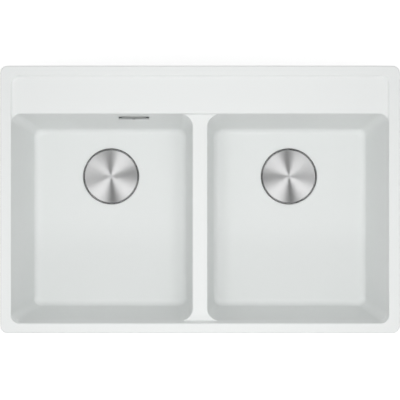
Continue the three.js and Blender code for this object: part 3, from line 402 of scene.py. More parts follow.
def loft(stack, low_point=None):
    """A closed solid through outlines (points, z), bottom first."""
    count = len(stack[0][0])
    vertices = [(x, y, z) for points, z in stack for x, y in points]
    faces = bands(len(stack), count)
    top = (len(stack) - 1) * count
    faces.append(tuple(range(top, top + count)))
    if low_point:
        vertices.append(low_point)
        faces += [(len(vertices) - 1, (i + 1) % count, i) for i in range(count)]
    else:
        faces.append(tuple(reversed(range(count))))
    return new_piece("loft", vertices, faces)


def extruded(points, low, high):
    return loft([(points, low), (points, high)])


def quarter(steps=FILLET_STEPS):
    """Sine and cosine at even steps through a right angle."""
    angles = [pi / 2 * i / steps for i in range(steps + 1)]
    return [(sin(a), cos(a)) for a in angles]


def eased(profile, radius, steps=3):
    """A closed [r, z] profile with each corner off the axis rounded."""
    made = []
    for i, here in enumerate(profile):
        corner = Vector(here)
        if corner.x < ON_AXIS:
            made.append(here)
            continue
        before = Vector(profile[i - 1])
        after = Vector(profile[(i + 1) % len(profile)])
        reach = min(radius, (before - corner).length * 0.45, (after - corner).length * 0.45)
        start = corner + (before - corner).normalized() * reach
        end = corner + (after - corner).normalized() * reach
        for k in range(steps + 1):
            t = k / steps
            point = start * (1 - t) ** 2 + corner * 2 * t * (1 - t) + end * t ** 2
            made.append((point.x, point.y))
    return made


def lathe(profile, steps=ROUND, wave=None):
    """A closed profile turned about Z. The wave multiplies the radius of points (r, z, 1)."""
    vertices = []
    rings = []
    for r, z, *wavy in profile:
        if r < ON_AXIS:
            rings.append([len(vertices)] * steps)
            vertices.append((0, 0, z))
            continue
        rings.append(list(range(len(vertices), len(vertices) + steps)))
        for i in range(steps):
            angle = 2 * pi * i / steps
            radius = r * wave(angle) if wavy else r
            vertices.append((radius * cos(angle), radius * sin(angle), z))
    faces = []
    for k, ring in enumerate(rings):
        after = rings[(k + 1) % len(rings)]
        for i in range(steps):
            j = (i + 1) % steps
            face = list(dict.fromkeys((ring[i], ring[j], after[j], after[i])))
            if len(face) > 2:
                faces.append(face)
    return new_piece("lathe", vertices, faces)


def block(x0, x1, y0, y1, z0, z1):
    return extruded([(x0, y0), (x1, y0), (x1, y1), (x0, y1)], z0, z1)


def bar(x0, x1, width, z0, z1):
    """A block with its middle on the X axis."""
    return block(x0, x1, -width / 2, width / 2, z0, z1)


def turned(points, edge=0, steps=ROUND, edge_steps=3):
    """A profile turned about Z, with both of its ends closed on the axis and its corners rounded."""
    profile = [(0, points[0][1]), *points, (0, points[-1][1])]
    return lathe(eased(profile, edge, edge_steps) if edge else profile, steps)


def rod(radius, low, high, steps=SMALL, edge=0):
    return turned([(radius, low), (radius, high)], edge, steps)


def tube(bore, outer, low, high, edge=0.3, steps=ROUND):
    return lathe(eased([(bore, low), (outer, low), (outer, high), (bore, high)], edge), steps)


def swept(stations, bore, steps):
    """A pipe of that bore through stations (point, direction, side, outer radius)."""
    def loop(point, along, side, radius):
        other = along.cross(side)
        angles = [2 * pi * i / steps for i in range(steps)]
        return [point + radius * (side * cos(a) + other * sin(a)) for a in angles]

    loops = [loop(*station) for station in stations]
    loops += [loop(*station[:3], bore) for station in reversed(stations)]
    vertices = [tuple(v) for ring in loops for v in ring]
    return new_piece("swept", vertices, bands(len(loops), steps, closed=True))


def shift(x=0, y=0, z=0):
    return Matrix.Translation(Vector((x, y, z)) * MM)


def turn(angle, axis):
    return Matrix.Rotation(radians(angle), 4, axis)


FLIP_X = Matrix.Scale(-1, 4, (1, 0, 0))
AT_OVERFLOW = shift(OVERFLOW_X, 0, OVERFLOW_Z)


def placed(piece, matrix):
    piece.data.transform(matrix)
    if matrix.determinant() < 0:
        piece.data.flip_normals()
    return piece


def copied(piece, matrix=Matrix()):
    twin = piece.copy()
    twin.data = piece.data.copy()
    bpy.context.collection.objects.link(twin)
    return placed(twin, matrix)


def around(count, make, start=0):
    """Pieces at even turns about Z, from a share of the pitch on."""
    return [placed(make(), turn(360 / count * (i + start), "Z")) for i in range(count)]


def at_wastes(make, y=0):
    return [placed(make(), shift(x, y)) for x in (-WASTE_X, WASTE_X)]


def gathered(pieces):
    """One object of several closed meshes."""
    target = pieces[0]
    made = bmesh.new()
    for piece in pieces:
        made.from_mesh(piece.data)
    made.to_mesh(target.data)
    made.free()
    for piece in pieces[1:]:
        bpy.data.objects.remove(piece)
    return target


def combine(target, others, operation):
    for other in others:
        modifier = target.modifiers.new("combine", "BOOLEAN")
        modifier.operation = operation
        modifier.solver = "EXACT"
        modifier.object = other
        with bpy.context.temp_override(object=target, active_object=target):
            bpy.ops.object.modifier_apply(modifier=modifier.name)
        bpy.data.objects.remove(other)
    return target


def joined(target, *others):
    return combine(target, others, "UNION")


def cut(target, *others):
    return combine(target, others, "DIFFERENCE")


def dress(piece, name, look, node, body="shell", edge_degrees=30):
    """Names and smooths a finished piece, gives it its look and its body, and hides its CAD node."""
    piece.name = piece.data.name = name
    piece.data.polygons.foreach_set("use_smooth", [True] * len(piece.data.polygons))
    piece.data.set_sharp_from_angle(angle=radians(edge_degrees))
    modifier = piece.modifiers.new("flat faces", "WEIGHTED_NORMAL")
    modifier.keep_sharp = True
    modifier.weight = 100
    piece.data.materials.clear()
    piece.data.materials.append(look.material)
    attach(piece, body)
    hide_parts(node)
    return piece


def dress_copy(piece, matrix, *dressing):
    """A dressed copy of a piece that was made about its own seat's axes, which it keeps."""
    twin = copied(piece)
    twin.matrix_world = matrix
    bpy.context.view_layer.update()
    dress(twin, *dressing)


def dress_both(piece, name, look, node, body="shell"):
    """A piece made about a waste's axis, for both wastes."""
    for side, x in (("left", -WASTE_X), ("right", WASTE_X)):
        names = f"{side}_{name}", look, f"{side}_{node}", body.format(side=side)
        dress_copy(piece, shift(x, WASTE_Y), *names)
    bpy.data.objects.remove(piece)


# -------------------- materials


NOISE_RANGE = (0.3, 0.7)  # where most of a noise's values lie
BEVEL_SAMPLES = 6


def add_node(tree, kind, inputs, **settings):
    """A shader node with its settings. An input takes a number, a colour or another node's output."""
    node = tree.nodes.new(kind)
    for name, value in settings.items():
        setattr(node, name, value)
    for name, value in inputs.items():
        if isinstance(value, bpy.types.NodeSocket):
            tree.links.new(value, node.inputs[name])
        else:
            node.inputs[name].default_value = value
    return node


def add_maths(tree, operation, first, second):
    return add_node(tree, "ShaderNodeMath", {0: first, 1: second}, operation=operation).outputs[0]


class Look:
    """A procedural material on one Principled shader, with node tools."""

    def __init__(self, name, roughness, metallic=0.0, slot=None, **sockets):
        self.slot = slot or name
        self.material = bpy.data.materials.new(name)
        self.material.use_nodes = True
        self.tree = self.material.node_tree
        self.shader = self.tree.nodes["Principled BSDF"]
        self.shader.inputs["Roughness"].default_value = roughness
        self.shader.inputs["Metallic"].default_value = metallic
        for socket, value in sockets.items():
            self.shader.inputs[socket.replace("_", " ")].default_value = value
        self.place = self.node("ShaderNodeTexCoord", {}).outputs["Object"]
        self.normal = None

    def node(self, kind, inputs, **settings):
        return add_node(self.tree, kind, inputs, **settings)

    def shade(self, socket, output):
        self.tree.links.new(output, self.shader.inputs[socket])

    def noise(self, size_mm, detail=2, rough=0.5, stretch=None, source=None):
        """Noise about as coarse as the size, from 0 to 1."""
        place = source or self.place
        if stretch:
            scaling = self.node("ShaderNodeVectorMath", {0: place, 1: stretch}, operation="MULTIPLY")
            place = scaling.outputs[0]
        inputs = {"Scale": 1 / (size_mm * MM), "Detail": detail, "Roughness": rough, "Vector": place}
        return self.node("ShaderNodeTexNoise", inputs).outputs["Fac"]

    def cells(self, size_mm):
        inputs = {"Scale": 1 / (size_mm * MM), "Vector": self.place}
        return self.node("ShaderNodeTexVoronoi", inputs).outputs["Distance"]

    def rings(self, size_mm):
        """Fine concentric noise about the piece's own Z axis."""
        x, y, _ = self.node("ShaderNodeSeparateXYZ", {0: self.place}).outputs
        flat = self.node("ShaderNodeCombineXYZ", {"X": x, "Y": y}).outputs[0]
        radius = self.node("ShaderNodeVectorMath", {0: flat}, operation="LENGTH").outputs["Value"]
        out = self.node("ShaderNodeCombineXYZ", {"X": radius}).outputs[0]
        return self.noise(size_mm, detail=3, source=out)

    def colours(self, value, low, high, span=NOISE_RANGE):
        """Base colour between two colours, while the value goes through its span."""
        ramp = self.node("ShaderNodeValToRGB", {"Fac": value})
        for element, position, colour in zip(ramp.color_ramp.elements, span, (low, high)):
            element.position = position
            element.color = (*colour, 1)
        self.shade("Base Color", ramp.outputs["Color"])

    def roughness(self, value, low, high):
        start, end = NOISE_RANGE
        inputs = {"Value": value, "From Min": start, "From Max": end, "To Min": low, "To Max": high}
        self.shade("Roughness", self.node("ShaderNodeMapRange", inputs).outputs["Result"])

    def bend(self, node):
        """Makes this node's normal the shader's, and the next bump's."""
        self.normal = node.outputs["Normal"]
        self.shade("Normal", self.normal)

    def round_edges(self, radius_mm):
        self.bend(self.node("ShaderNodeBevel", {"Radius": radius_mm * MM}, samples=BEVEL_SAMPLES))

    def bump(self, value, depth_mm, strength):
        inputs = {"Strength": strength, "Distance": depth_mm * MM, "Height": value}
        if self.normal:
            inputs["Normal"] = self.normal
        self.bend(self.node("ShaderNodeBump", inputs))

    def brushed_round(self):
        """Turns the anisotropy about the piece's own Z axis."""
        node = self.node("ShaderNodeTangent", {}, direction_type="RADIAL", axis="Z")
        self.shade("Tangent", node.outputs["Tangent"])


def composite_look():
    """Matte moulded quartz composite: a fine even grain."""
    look = Look("white_composite", 0.45, Specular_IOR_Level=0.5)
    look.colours(look.noise(0.7, detail=4, rough=0.7), (0.785, 0.802, 0.796), (0.835, 0.852, 0.845))
    look.roughness(look.noise(9), 0.4, 0.5)
    look.round_edges(1.2)
    look.bump(look.noise(0.55, detail=3, rough=0.6), 0.05, 0.35)
    look.bump(look.noise(38, detail=1), 0.25, 0.25)
    return look


def cover_look():
    """Stainless steel brushed in circles."""
    look = Look("circular_brushed_steel", 0.34, 1.0, "brushed_steel", Anisotropic=1.0)
    rings = look.rings(0.35)
    look.colours(rings, (0.603, 0.606, 0.611), (0.704, 0.702, 0.70))
    look.roughness(look.rings(0.9), 0.31, 0.37)
    look.brushed_round()
    look.round_edges(0.4)
    look.bump(rings, 0.02, 0.3)
    return look


def plate_look():
    """Stainless steel brushed along X."""
    look = Look("brushed_steel", 0.35, 1.0, Anisotropic=0.5)
    streaks = look.noise(0.4, detail=3, stretch=(0.03, 1, 1))
    look.colours(streaks, (0.52, 0.53, 0.54), (0.64, 0.645, 0.65))
    look.roughness(streaks, 0.3, 0.42)
    look.round_edges(0.5)
    look.bump(streaks, 0.02, 0.3)
    return look


def polished_look():
    """Bright pressed stainless steel, with faint smears."""
    look = Look("polished_steel", 0.16, 1.0)
    look.colours(look.noise(14, detail=3), (0.62, 0.625, 0.63), (0.70, 0.705, 0.71))
    look.roughness(look.noise(5, detail=4), 0.12, 0.24)
    look.round_edges(0.3)
    look.bump(look.noise(2.5), 0.01, 0.3)
    return look


def zinc_look():
    """Bright zinc plate with its cloudy spangle."""
    look = Look("zinc_plate", 0.38, 1.0)
    look.colours(look.cells(3.2), (0.54, 0.57, 0.60), (0.68, 0.69, 0.70), (0.1, 0.8))
    look.roughness(look.noise(1.6, detail=3), 0.32, 0.48)
    look.round_edges(0.4)
    look.bump(look.noise(0.8), 0.03, 0.3)
    return look


def rubber_look():
    look = Look("black_rubber", 0.75, Specular_IOR_Level=0.3)
    look.colours(look.noise(6, detail=3), (0.016, 0.016, 0.017), (0.032, 0.032, 0.033))
    look.roughness(look.noise(2), 0.65, 0.85)
    look.round_edges(0.3)
    look.bump(look.noise(0.5), 0.05, 0.4)
    return look


def foam_look():
    """Closed-cell foam strip."""
    look = Look("grey_foam", 0.9, Specular_IOR_Level=0.2)
    cells = look.cells(0.8)
    look.colours(cells, (0.055, 0.06, 0.062), (0.13, 0.135, 0.14), (0, 0.6))
    look.bump(cells, 0.2, 0.6)
    return look


def plastic_look(name, low, high, roughness):
    """Moulded polypropylene with a fine spark-eroded grain."""
    look = Look(name, roughness, Specular_IOR_Level=0.4)
    look.colours(look.noise(18, detail=3), low, high)
    look.roughness(look.noise(3), roughness - 0.05, roughness + 0.07)
    look.round_edges(0.6)
    look.bump(look.noise(0.6, detail=3), 0.04, 0.3)
    return look


composite = composite_look()
cover_steel = cover_look()
plate_steel = plate_look()
polished = polished_look()
zinc = zinc_look()
rubber = rubber_look()
foam = foam_look()
white_plastic = plastic_look("white_plastic", (0.70, 0.70, 0.68), (0.78, 0.78, 0.765), 0.4)
grey_plastic = plastic_look("grey_plastic", (0.29, 0.31, 0.325), (0.35, 0.37, 0.385), 0.45)

# -------------------- the moulded shell


def round_edge(ring, radius, top):
    """Outlines up a rounded edge that ends at that top."""
    return [ring(radius * (1 - cosine), top + radius * (sine - 1)) for sine, cosine in quarter()]


def rim_outline(inset):
    return rounded_box(grown_all(WHOLE, -inset), [RIM_CORNER - inset] * 4)


def rim_slab():
    def ring(inset, z):
        return rim_outline(inset), z

    foot = [ring(RIM_FOOT, RIM_BOTTOM), ring(0, RIM_BOTTOM + RIM_FOOT)]
    return loft(foot + round_edge(ring, RIM_EDGE, RIM_TOP))


def recess_ring(growth, z):
    return rounded_box(grown_all(RECESS, growth), [RECESS_CORNER + growth] * 4), z


def ledge_tray():
    """Cuts the tap ledge's hollow, with a fillet at its foot and a rounded edge at its top."""
    stack = []
    for sine, cosine in quarter():
        z = LEDGE_TOP + LEDGE_FILLET * (1 - cosine)
        if z < RIM_TOP - INNER_EDGE - 0.1:
            stack.append(recess_ring(LEDGE_FILLET * (sine - 1), z))
    stack += round_edge(recess_ring, INNER_EDGE, RIM_TOP)
    return loft(stack + [recess_ring(INNER_EDGE, RIM_TOP + 1)])


TRAY = (RECESS[0], RECESS[1], RECESS[2], BOWL_BACK)


def tray_radii(growth=0):
    small = RECESS_CORNER + growth
    large = BOWL_OUTER_CORNER + growth
    return [small, large, large, small]


def bowl_tray():
    """Cuts the lower tray over both bowls, down to the divider's top; its front leans forward."""
    def ring(back, z):
        lean = max(0, LEDGE_TOP - z) / (LEDGE_TOP - DIVIDER_TOP)
        return rounded_box(grown(TRAY, back=back, front=-FRONT_STEP * lean), tray_radii()), z

    edge = round_edge(ring, LEDGE_EDGE, LEDGE_TOP)
    return loft([ring(0, DIVIDER_TOP), *edge, ring(LEDGE_EDGE, RIM_TOP + 0.5)])


def bowl_ring(inset, lean=0):
    outer = BOWL_OUTER_CORNER - OUTER_TAPER * inset
    inner = BOWL_INNER_CORNER - INNER_TAPER * inset
    rect = grown(BOWL, *[-inset - lean * more for more in FOOT_MORE])
    return rounded_box(rect, [outer, outer, inner, inner])


def bowl_stack(growth, foot, fillet, lean=0):
    """Outlines up a drafted bowl wall, with a fillet at its foot; lean is 1 for the walls' extra lean."""
    draft_angle = atan(DRAFT)
    centre_z = foot + fillet
    centre_inset = (DIVIDER_TOP - centre_z) * DRAFT - growth + fillet / cos(draft_angle)
    stack = []
    for i in range(FILLET_STEPS + 1):
        angle = (pi / 2 - draft_angle) * i / FILLET_STEPS
        inset = centre_inset - fillet * sin(angle)
        stack.append((bowl_ring(inset, lean), centre_z - fillet * cos(angle)))
    return stack


def bowl_space():
    def ring(flare, z):
        inner = BOWL_INNER_CORNER + flare
        radii = [BOWL_OUTER_CORNER, BOWL_OUTER_CORNER, inner, inner]
        return rounded_box(grown(BOWL, left=flare), radii), z

    stack = bowl_stack(0, FLOOR_TOP, FLOOR_FILLET, lean=1) + round_edge(ring, DIVIDER_EDGE, DIVIDER_TOP)
    return loft(stack + [ring(DIVIDER_EDGE, DIVIDER_TOP + 1)], (WASTE_X, WASTE_Y, FLOOR_LOW))


def bowl_outside():
    stack = bowl_stack(WALL, FLOOR_TOP - FLOOR, OUTER_FILLET)
    outline = bowl_ring(-WALL)
    return loft(stack + [(outline, DIVIDER_TOP), (outline, RIM_BOTTOM + 1)])


def waste_boss():
    return rod(BOSS, BOSS_BOTTOM, FLOOR_TOP - 1, ROUND, 1.5)


def waste_seat():
    lip_hole = LIP + SEAT_CLEARANCE
    shelf_hole = GAP_WALL + SHEET + SEAT_CLEARANCE
    cup_hole = CUP + SHEET + SEAT_CLEARANCE
    lip_step = LIP_TOP - SHEET - GAP
    return turned([
        (cup_hole, BOSS_BOTTOM - 1), (cup_hole, SEAT_STEP),
        (shelf_hole, SEAT_STEP), (shelf_hole, lip_step),
        (lip_hole, lip_step), (lip_hole, FLOOR_TOP + 1),
    ])


def pill(width, height, front, back, edge=0, corner=None):
    """An upright plate with round ends or corners, flat in XZ, from one y to another."""
    rect = (-width / 2, width / 2, -height / 2, height / 2)
    radius = corner or height / 2 - 0.01

    def ring(inset, y):
        return rounded_box(grown_all(rect, -inset), [radius - inset] * 4, 12), -y

    stack = [ring(edge, back), ring(0, back - edge), ring(0, front + edge), ring(edge, front)]
    return placed(loft(stack if edge else stack[::3]), turn(90, "X"))


CLIP_X = WHOLE[1] - OVERHANG - CLIP_ROOM
CLIP_Y = WHOLE[3] - OVERHANG - CLIP_ROOM
BOWL_MIDDLE_Y = (BOWL[2] + BOWL[3]) / 2
CLIPS = (
    ("front_left", -WASTE_X, -CLIP_Y, -90),
    ("front_right", WASTE_X, -CLIP_Y, -90),
    ("back_left", -WASTE_X, CLIP_Y, 90),
    ("back_right", WASTE_X, CLIP_Y, 90),
    ("side_left", -CLIP_X, BOWL_MIDDLE_Y, 180),
    ("side_right", CLIP_X, BOWL_MIDDLE_Y, 0),
)


def at_clip(place):
    _, x, y, facing = place
    return shift(x, y) @ turn(facing, "Z")


def clip_lug():
    thickness, width, drop, taper = LUG

    def ring(reach, half, z):
        return [(-reach, -half), (0, -half), (0, half), (-reach, half)], z

    return loft([
        ring(thickness - taper, width / 2 - taper, -drop),
        ring(thickness, width / 2, LEDGE_TOP - SLAB + 1),
    ])


def back_rib():
    thickness, _, drop, taper = LUG
    inside = CLIP_Y - thickness / 2
    outline = [
        (BOWL_BACK + WALL / 2, LEDGE_TOP - SLAB + 1),
        (inside, LEDGE_TOP - SLAB + 1),
        (inside, taper - drop),
        (BOWL_BACK, taper - drop),
    ]
    made = extruded(outline, -RIB / 2, RIB / 2)
    return placed(made, turn(90, "Z") @ turn(90, "X"))


def tap_recess(x):
    """Cuts a tap's knock-out from below."""
    hole = rod(TAP_HOLE, LEDGE_TOP - SLAB - 1, LEDGE_TOP - TAP_SKIN)
    return placed(hole, shift(x, (BOWL_BACK + RECESS[3]) / 2))


def sink_shell():
    ledge = (RECESS[0] - WALL, RECESS[1] + WALL, BOWL_BACK - 1, RECESS[3] + WALL)
    ledge_outline = rounded_box(ledge, [RECESS_CORNER + WALL] * 4)
    tray_outline = rounded_box(grown_all(TRAY, WALL - 0.05), tray_radii(WALL))
    outside = joined(
        rim_slab(),
        extruded(ledge_outline, LEDGE_TOP - SLAB, RIM_BOTTOM + 1),
        extruded(tray_outline, DIVIDER_TOP - SLAB, RIM_BOTTOM + 1.2),
        bowl_outside(),
        placed(bowl_outside(), FLIP_X),
        *at_wastes(waste_boss, WASTE_Y),
        block(
            OVERFLOW_X - SEAT_WIDTH / 2, OVERFLOW_X + SEAT_WIDTH / 2,
            OVERFLOW_WALL + 1, OVERFLOW_SEAT,
            OVERFLOW_Z - SEAT_HEIGHT / 2, LEDGE_TOP - SLAB + 1.1,
        ),
        *[placed(clip_lug(), at_clip(place)) for place in CLIPS],
        *at_wastes(back_rib),
    )
    slot = pill(SLOT_WIDTH, SLOT_HEIGHT, OVERFLOW_WALL - 5, OVERFLOW_SEAT + 1)
    return cut(
        outside,
        ledge_tray(),
        bowl_tray(),
        bowl_space(),
        placed(bowl_space(), FLIP_X),
        *at_wastes(waste_seat, WASTE_Y),
        placed(slot, AT_OVERFLOW),
        *[tap_recess(x) for x in (-TAP_PITCH, 0, TAP_PITCH)],
    )


dress(sink_shell(), "moulded_shell", composite, "sink_body")


def rim_seal():
    outer = rim_outline(SEAL_INSET)
    inner = rim_outline(SEAL_INSET + SEAL_WIDTH)
    top = SEAL_THICKNESS - GAP
    loops = ((outer, 0), (outer, top), (inner, top), (inner, 0))
    vertices = [(x, y, z) for points, z in loops for x, y in points]
    return new_piece("rim_seal", vertices, bands(len(loops), len(outer), closed=True))


dress(rim_seal(), "foam_seal", foam, "rim_seal")

# -------------------- wastes, about their own axis


def cross_recess(size, depth, top):
    """Cutter for a screw head's cross, down from its top."""
    bars = [bar(-size, size, size / 2, top - depth, top + 1) for _ in range(2)]
    return joined(bars[0], placed(bars[1], turn(90, "Z")))


def waste_flange():
    wall = GAP_WALL + SHEET
    skin = lathe(eased([
        (LIP, LIP_TOP - SHEET), (LIP, LIP_TOP),
        (GAP_WALL, LIP_TOP), (GAP_WALL, SHELF_TOP),
        (CUP, SHELF_TOP), (CUP_FLOOR, CUP_BOTTOM),
        (DRAIN, CUP_BOTTOM), (DRAIN, CUP_BOTTOM - SHEET),
        (CUP_FLOOR + SHEET, CUP_BOTTOM - SHEET), (CUP + SHEET, SHELF_TOP - SHEET),
        (wall, SHELF_TOP - SHEET), (wall, LIP_TOP - SHEET),
    ], FLANGE_EDGE, 4))
    spokes = around(SPOKES, lambda: bar(HUB - 1, DRAIN + 1, SPOKE_WIDTH, CUP_BOTTOM - SHEET, CUP_BOTTOM))
    hub = tube(CLAMP_SCREW + GAP, HUB, CUP_BOTTOM - HUB_HEIGHT, CUP_BOTTOM, 0.4, SMALL)
    return gathered([skin, *spokes, hub])


def drain_cover():
    disc = turned([(COVER, COVER_BOTTOM), (COVER, COVER_TOP)], COVER_EDGE, COVER_STEPS, 5)

    def foot():
        inner = COVER - FOOT_INSET
        return bar(inner, inner + COVER_THICKNESS, FOOT_WIDTH, SHELF_TOP + GAP, COVER_BOTTOM + 0.2)

    return gathered([disc, *around(COVER_FEET, foot, 0.5)])


def basket_strainer():
    top = BASKET_BOTTOM + BASKET_DEPTH
    cup = turned([
        (BASKET_FLOOR, BASKET_BOTTOM), (BASKET_TOP, top - BASKET_SHEET),
        (BASKET_RIM, top - BASKET_SHEET), (BASKET_RIM, top),
        (BASKET_TOP - BASKET_SHEET, top), (BASKET_FLOOR - BASKET_SHEET, BASKET_BOTTOM + BASKET_SHEET),
    ], BASKET_EDGE)
    cutters = []
    for radius in (HOLE_RING, HOLE_RING - HOLE_PITCH):
        count = int(2 * pi * radius / HOLE_PITCH)
        for i in range(count):
            hole = rod(FLOOR_HOLE, BASKET_BOTTOM - 1, BASKET_BOTTOM + BASKET_SHEET + 1, 24)
            angle = 2 * pi * i / count
            cutters.append(placed(hole, shift(radius * cos(angle), radius * sin(angle))))
    width, height = WALL_SLOT
    low = BASKET_BOTTOM + (BASKET_DEPTH - height) / 2
    cutters += around(
        WALL_SLOTS, lambda: bar(BASKET_FLOOR - 3, BASKET_TOP + 2, width, low, low + height), SLOT_SHIFT
    )
    return cut(cup, gathered(cutters))


def basket_knob():
    floor = BASKET_BOTTOM + BASKET_SHEET + GAP
    tip = CUP_BOTTOM + GAP + CLAMP_HEAD_HEIGHT + GAP
    spigot = STEM - 1 - GAP
    return turned([
        (spigot, tip), (spigot, floor),
        (STEM + 3, floor), (STEM + 3, floor + 1),
        (STEM, floor + 2), (STEM, KNOB_TOP - KNOB_HEIGHT - 2),
        (KNOB, KNOB_TOP - KNOB_HEIGHT), (KNOB, KNOB_TOP),
    ], KNOB_EDGE, 64, 4)


def basket_pad():
    top = PAD_BOTTOM + SEAL_PAD
    return lathe(eased([
        (SEAL_PAD_BORE, PAD_BOTTOM + 1), (DRAIN, PAD_BOTTOM),
        (SEAL_PAD_RADIUS, PAD_BOTTOM), (SEAL_PAD_RADIUS, top), (SEAL_PAD_BORE, top),
    ], 0.6))


def threaded(radius, low, high):
    """Profile points up a thread made of rings, from low to high."""
    points = []
    turns = int((high - low) / THREAD_PITCH)
    for i in range(turns):
        z = low + i * THREAD_PITCH
        points.append((radius - THREAD_DEPTH, z))
        points += [(radius, z + THREAD_PITCH * share) for share in THREAD_CREST]
    return points + [(radius - THREAD_DEPTH, low + turns * THREAD_PITCH)]


def waste_housing():
    inner = HOUSING - HOUSING_WALL
    flange = GASKET_RADIUS + 1
    under = HOUSING_TOP - HOUSING_FLANGE
    thread = threaded(SPIGOT, SPIGOT_BOTTOM + 0.5, SPIGOT_TOP - 3)
    outside = lathe([
        (0, SPIGOT_BOTTOM), *thread, (SPIGOT - THREAD_DEPTH, SPIGOT_TOP - 1),
        (SPIGOT + 1, SPIGOT_TOP + 0.2), (HOUSING - 1, FUNNEL_TOP - 0.5),
        (HOUSING, FUNNEL_TOP + 1), (HOUSING, under - 0.8),
        (HOUSING + 0.8, under), (flange - 0.6, under),
        (flange, under + 0.6), (flange, HOUSING_TOP), (0, HOUSING_TOP),
    ])
    inside = turned([
        (SPIGOT_BORE, SPIGOT_BOTTOM - 1), (SPIGOT_BORE, SPIGOT_TOP),
        (inner, FUNNEL_TOP), (inner, HOUSING_TOP + 1),
    ])
    lying = shift(0, 0, PORT_Z) @ turn(-90, "X")
    port = placed(rod(PORT, 0, PORT_REACH), lying)
    port_hole = placed(rod(PORT_BORE, inner - 4, PORT_REACH + 1), lying)
    shell = cut(joined(outside, port), inside, port_hole)
    core_bottom = SPIGOT_TOP - CORE_HEIGHT
    core = tube(CLAMP_SCREW + GAP, CORE, core_bottom, SPIGOT_TOP, 0.5, SMALL)
    webs = around(WEBS, lambda: bar(CORE - 1, SPIGOT_BORE + 1, WEB, core_bottom, SPIGOT_TOP))
    return gathered([shell, core, *webs])


def clamp_screw():
    head = CUP_BOTTOM + GAP
    top = head + CLAMP_HEAD_HEIGHT
    tip = SPIGOT_TOP - CORE_HEIGHT - 3
    outline = [(CLAMP_SCREW, tip), (CLAMP_SCREW, head), (CLAMP_HEAD, head), (CLAMP_HEAD, top)]
    return cut(turned(outline, 0.9, 64), cross_recess(*CLAMP_CROSS, top))


def ribbed_nut(radius, ribs, thread, tube_radius, bottom, lip, top):
    """A ribbed plastic nut about Z, open above and, apart from a cap, below its lip."""
    def wave(angle):
        return 1 - RIB_DEPTH * (0.5 - 0.5 * cos(ribs * angle)) ** 1.5

    small = radius - NUT_EDGE
    outer = [
        (small, bottom, 1),
        (radius, bottom + NUT_EDGE, 1),
        (radius, top - NUT_EDGE, 1),
        (small, top, 1),
    ]
    hole = thread + GAP
    inner = tube_radius + GAP if tube_radius else 0
    inside = [(hole, top), (hole, bottom + lip), (inner, bottom + lip), (inner, bottom)]
    return lathe(outer + inside, ribs * RIB_STEPS, wave)


def outlet_nut():
    bottom = COLLAR_TOP - COLLAR_HEIGHT - GAP - NUT_LIP
    return ribbed_nut(NUT, NUT_RIBS, SPIGOT, PIPE, bottom, NUT_LIP, SPIGOT_BOTTOM + ENGAGEMENT)


seal_top = SHELF_TOP - SHEET - GAP
gasket_top = BOSS_BOTTOM - GAP
washer_top = SPIGOT_BOTTOM - GAP
cup_hole = CUP + SHEET + GAP
flange_ring = tube(cup_hole, GAP_WALL, seal_top - FLANGE_SEAL, seal_top)
gasket = tube(cup_hole, GASKET_RADIUS, gasket_top - GASKET, gasket_top)
washer = tube(PIPE_BORE, SPIGOT - GAP, washer_top - WASHER, washer_top)
dress_both(waste_flange(), "flange", polished, "waste_flange")
dress_both(flange_ring, "flange_ring", rubber, "flange_seal")
dress_both(drain_cover(), "cover", cover_steel, "drain_cover", "{side}_cover")
dress_both(basket_strainer(), "strainer_basket", polished, "basket_strainer", "{side}_strainer")
dress_both(basket_knob(), "strainer_knob", polished, "basket_knob", "{side}_strainer")
dress_both(basket_pad(), "strainer_pad", rubber, "basket_seal", "{side}_strainer")
dress_both(gasket, "gasket", rubber, "housing_gasket")
dress_both(waste_housing(), "housing", white_plastic, "waste_housing")
dress_both(clamp_screw(), "screw", polished, "clamp_screw")
dress_both(outlet_nut(), "union_nut", grey_plastic, "outlet_nut")
dress_both(washer, "washer", rubber, "outlet_washer")

# -------------------- outlet pipework


def outlet_pipe():
    side = Vector((0, 1, 0))
    down = Vector((0, 0, -1))
    stations = [(Vector((WASTE_X, WASTE_Y, COLLAR_TOP)), down, side, PIPE)]
    for sine, cosine in quarter(BEND_STEPS):
        point = Vector((WASTE_X - BEND * (1 - cosine), WASTE_Y, PIPE_Z + BEND - BEND * sine))
        stations.append((point, Vector((-sine, 0, -cosine)), side, PIPE))
    end = Vector((TEE_HALF - INSERTION, WASTE_Y, PIPE_Z))
    stations.append((end, Vector((-1, 0, 0)), side, PIPE))
    collar = tube(
        PIPE_BORE + 0.5, COLLAR, COLLAR_TOP - COLLAR_HEIGHT, COLLAR_TOP - 0.02, 0.5, PIPE_STEPS
    )
    return gathered([swept(stations, PIPE_BORE, PIPE_STEPS), placed(collar, shift(WASTE_X, WASTE_Y))])


def outlet_tee():
    across = turn(90, "Y")
    socket = PIPE + GAP
    stop = TEE_HALF - INSERTION - GAP
    run = rod(SPIGOT, -TEE_HALF, TEE_HALF, ROUND, 0.8)
    thread_top = -SPIGOT - 6
    stem = turned([
        (SPIGOT - THREAD_DEPTH - 0.4, -TEE_DROP),
        *threaded(SPIGOT, -TEE_DROP + 0.5, thread_top),
        (SPIGOT, thread_top + 1.5), (SPIGOT, 0),
    ])
    made = joined(placed(run, across), stem)
    bore = turned([
        (socket, -TEE_HALF - 1), (socket, -stop), (PIPE_BORE, -stop),
        (PIPE_BORE, stop), (socket, stop), (socket, TEE_HALF + 1),
    ], 0, PIPE_STEPS)
    made = cut(made, placed(bore, across), rod(PIPE_BORE, -TEE_DROP - 1, 0.3, PIPE_STEPS))
    return placed(made, shift(0, WASTE_Y, PIPE_Z))


pipe = outlet_pipe()
dress(copied(pipe, FLIP_X), "left_pipe", white_plastic, "left_outlet_pipe")
dress(pipe, "right_pipe", white_plastic, "right_outlet_pipe")
dress(outlet_tee(), "tee", white_plastic, "outlet_tee")

# -------------------- overflow


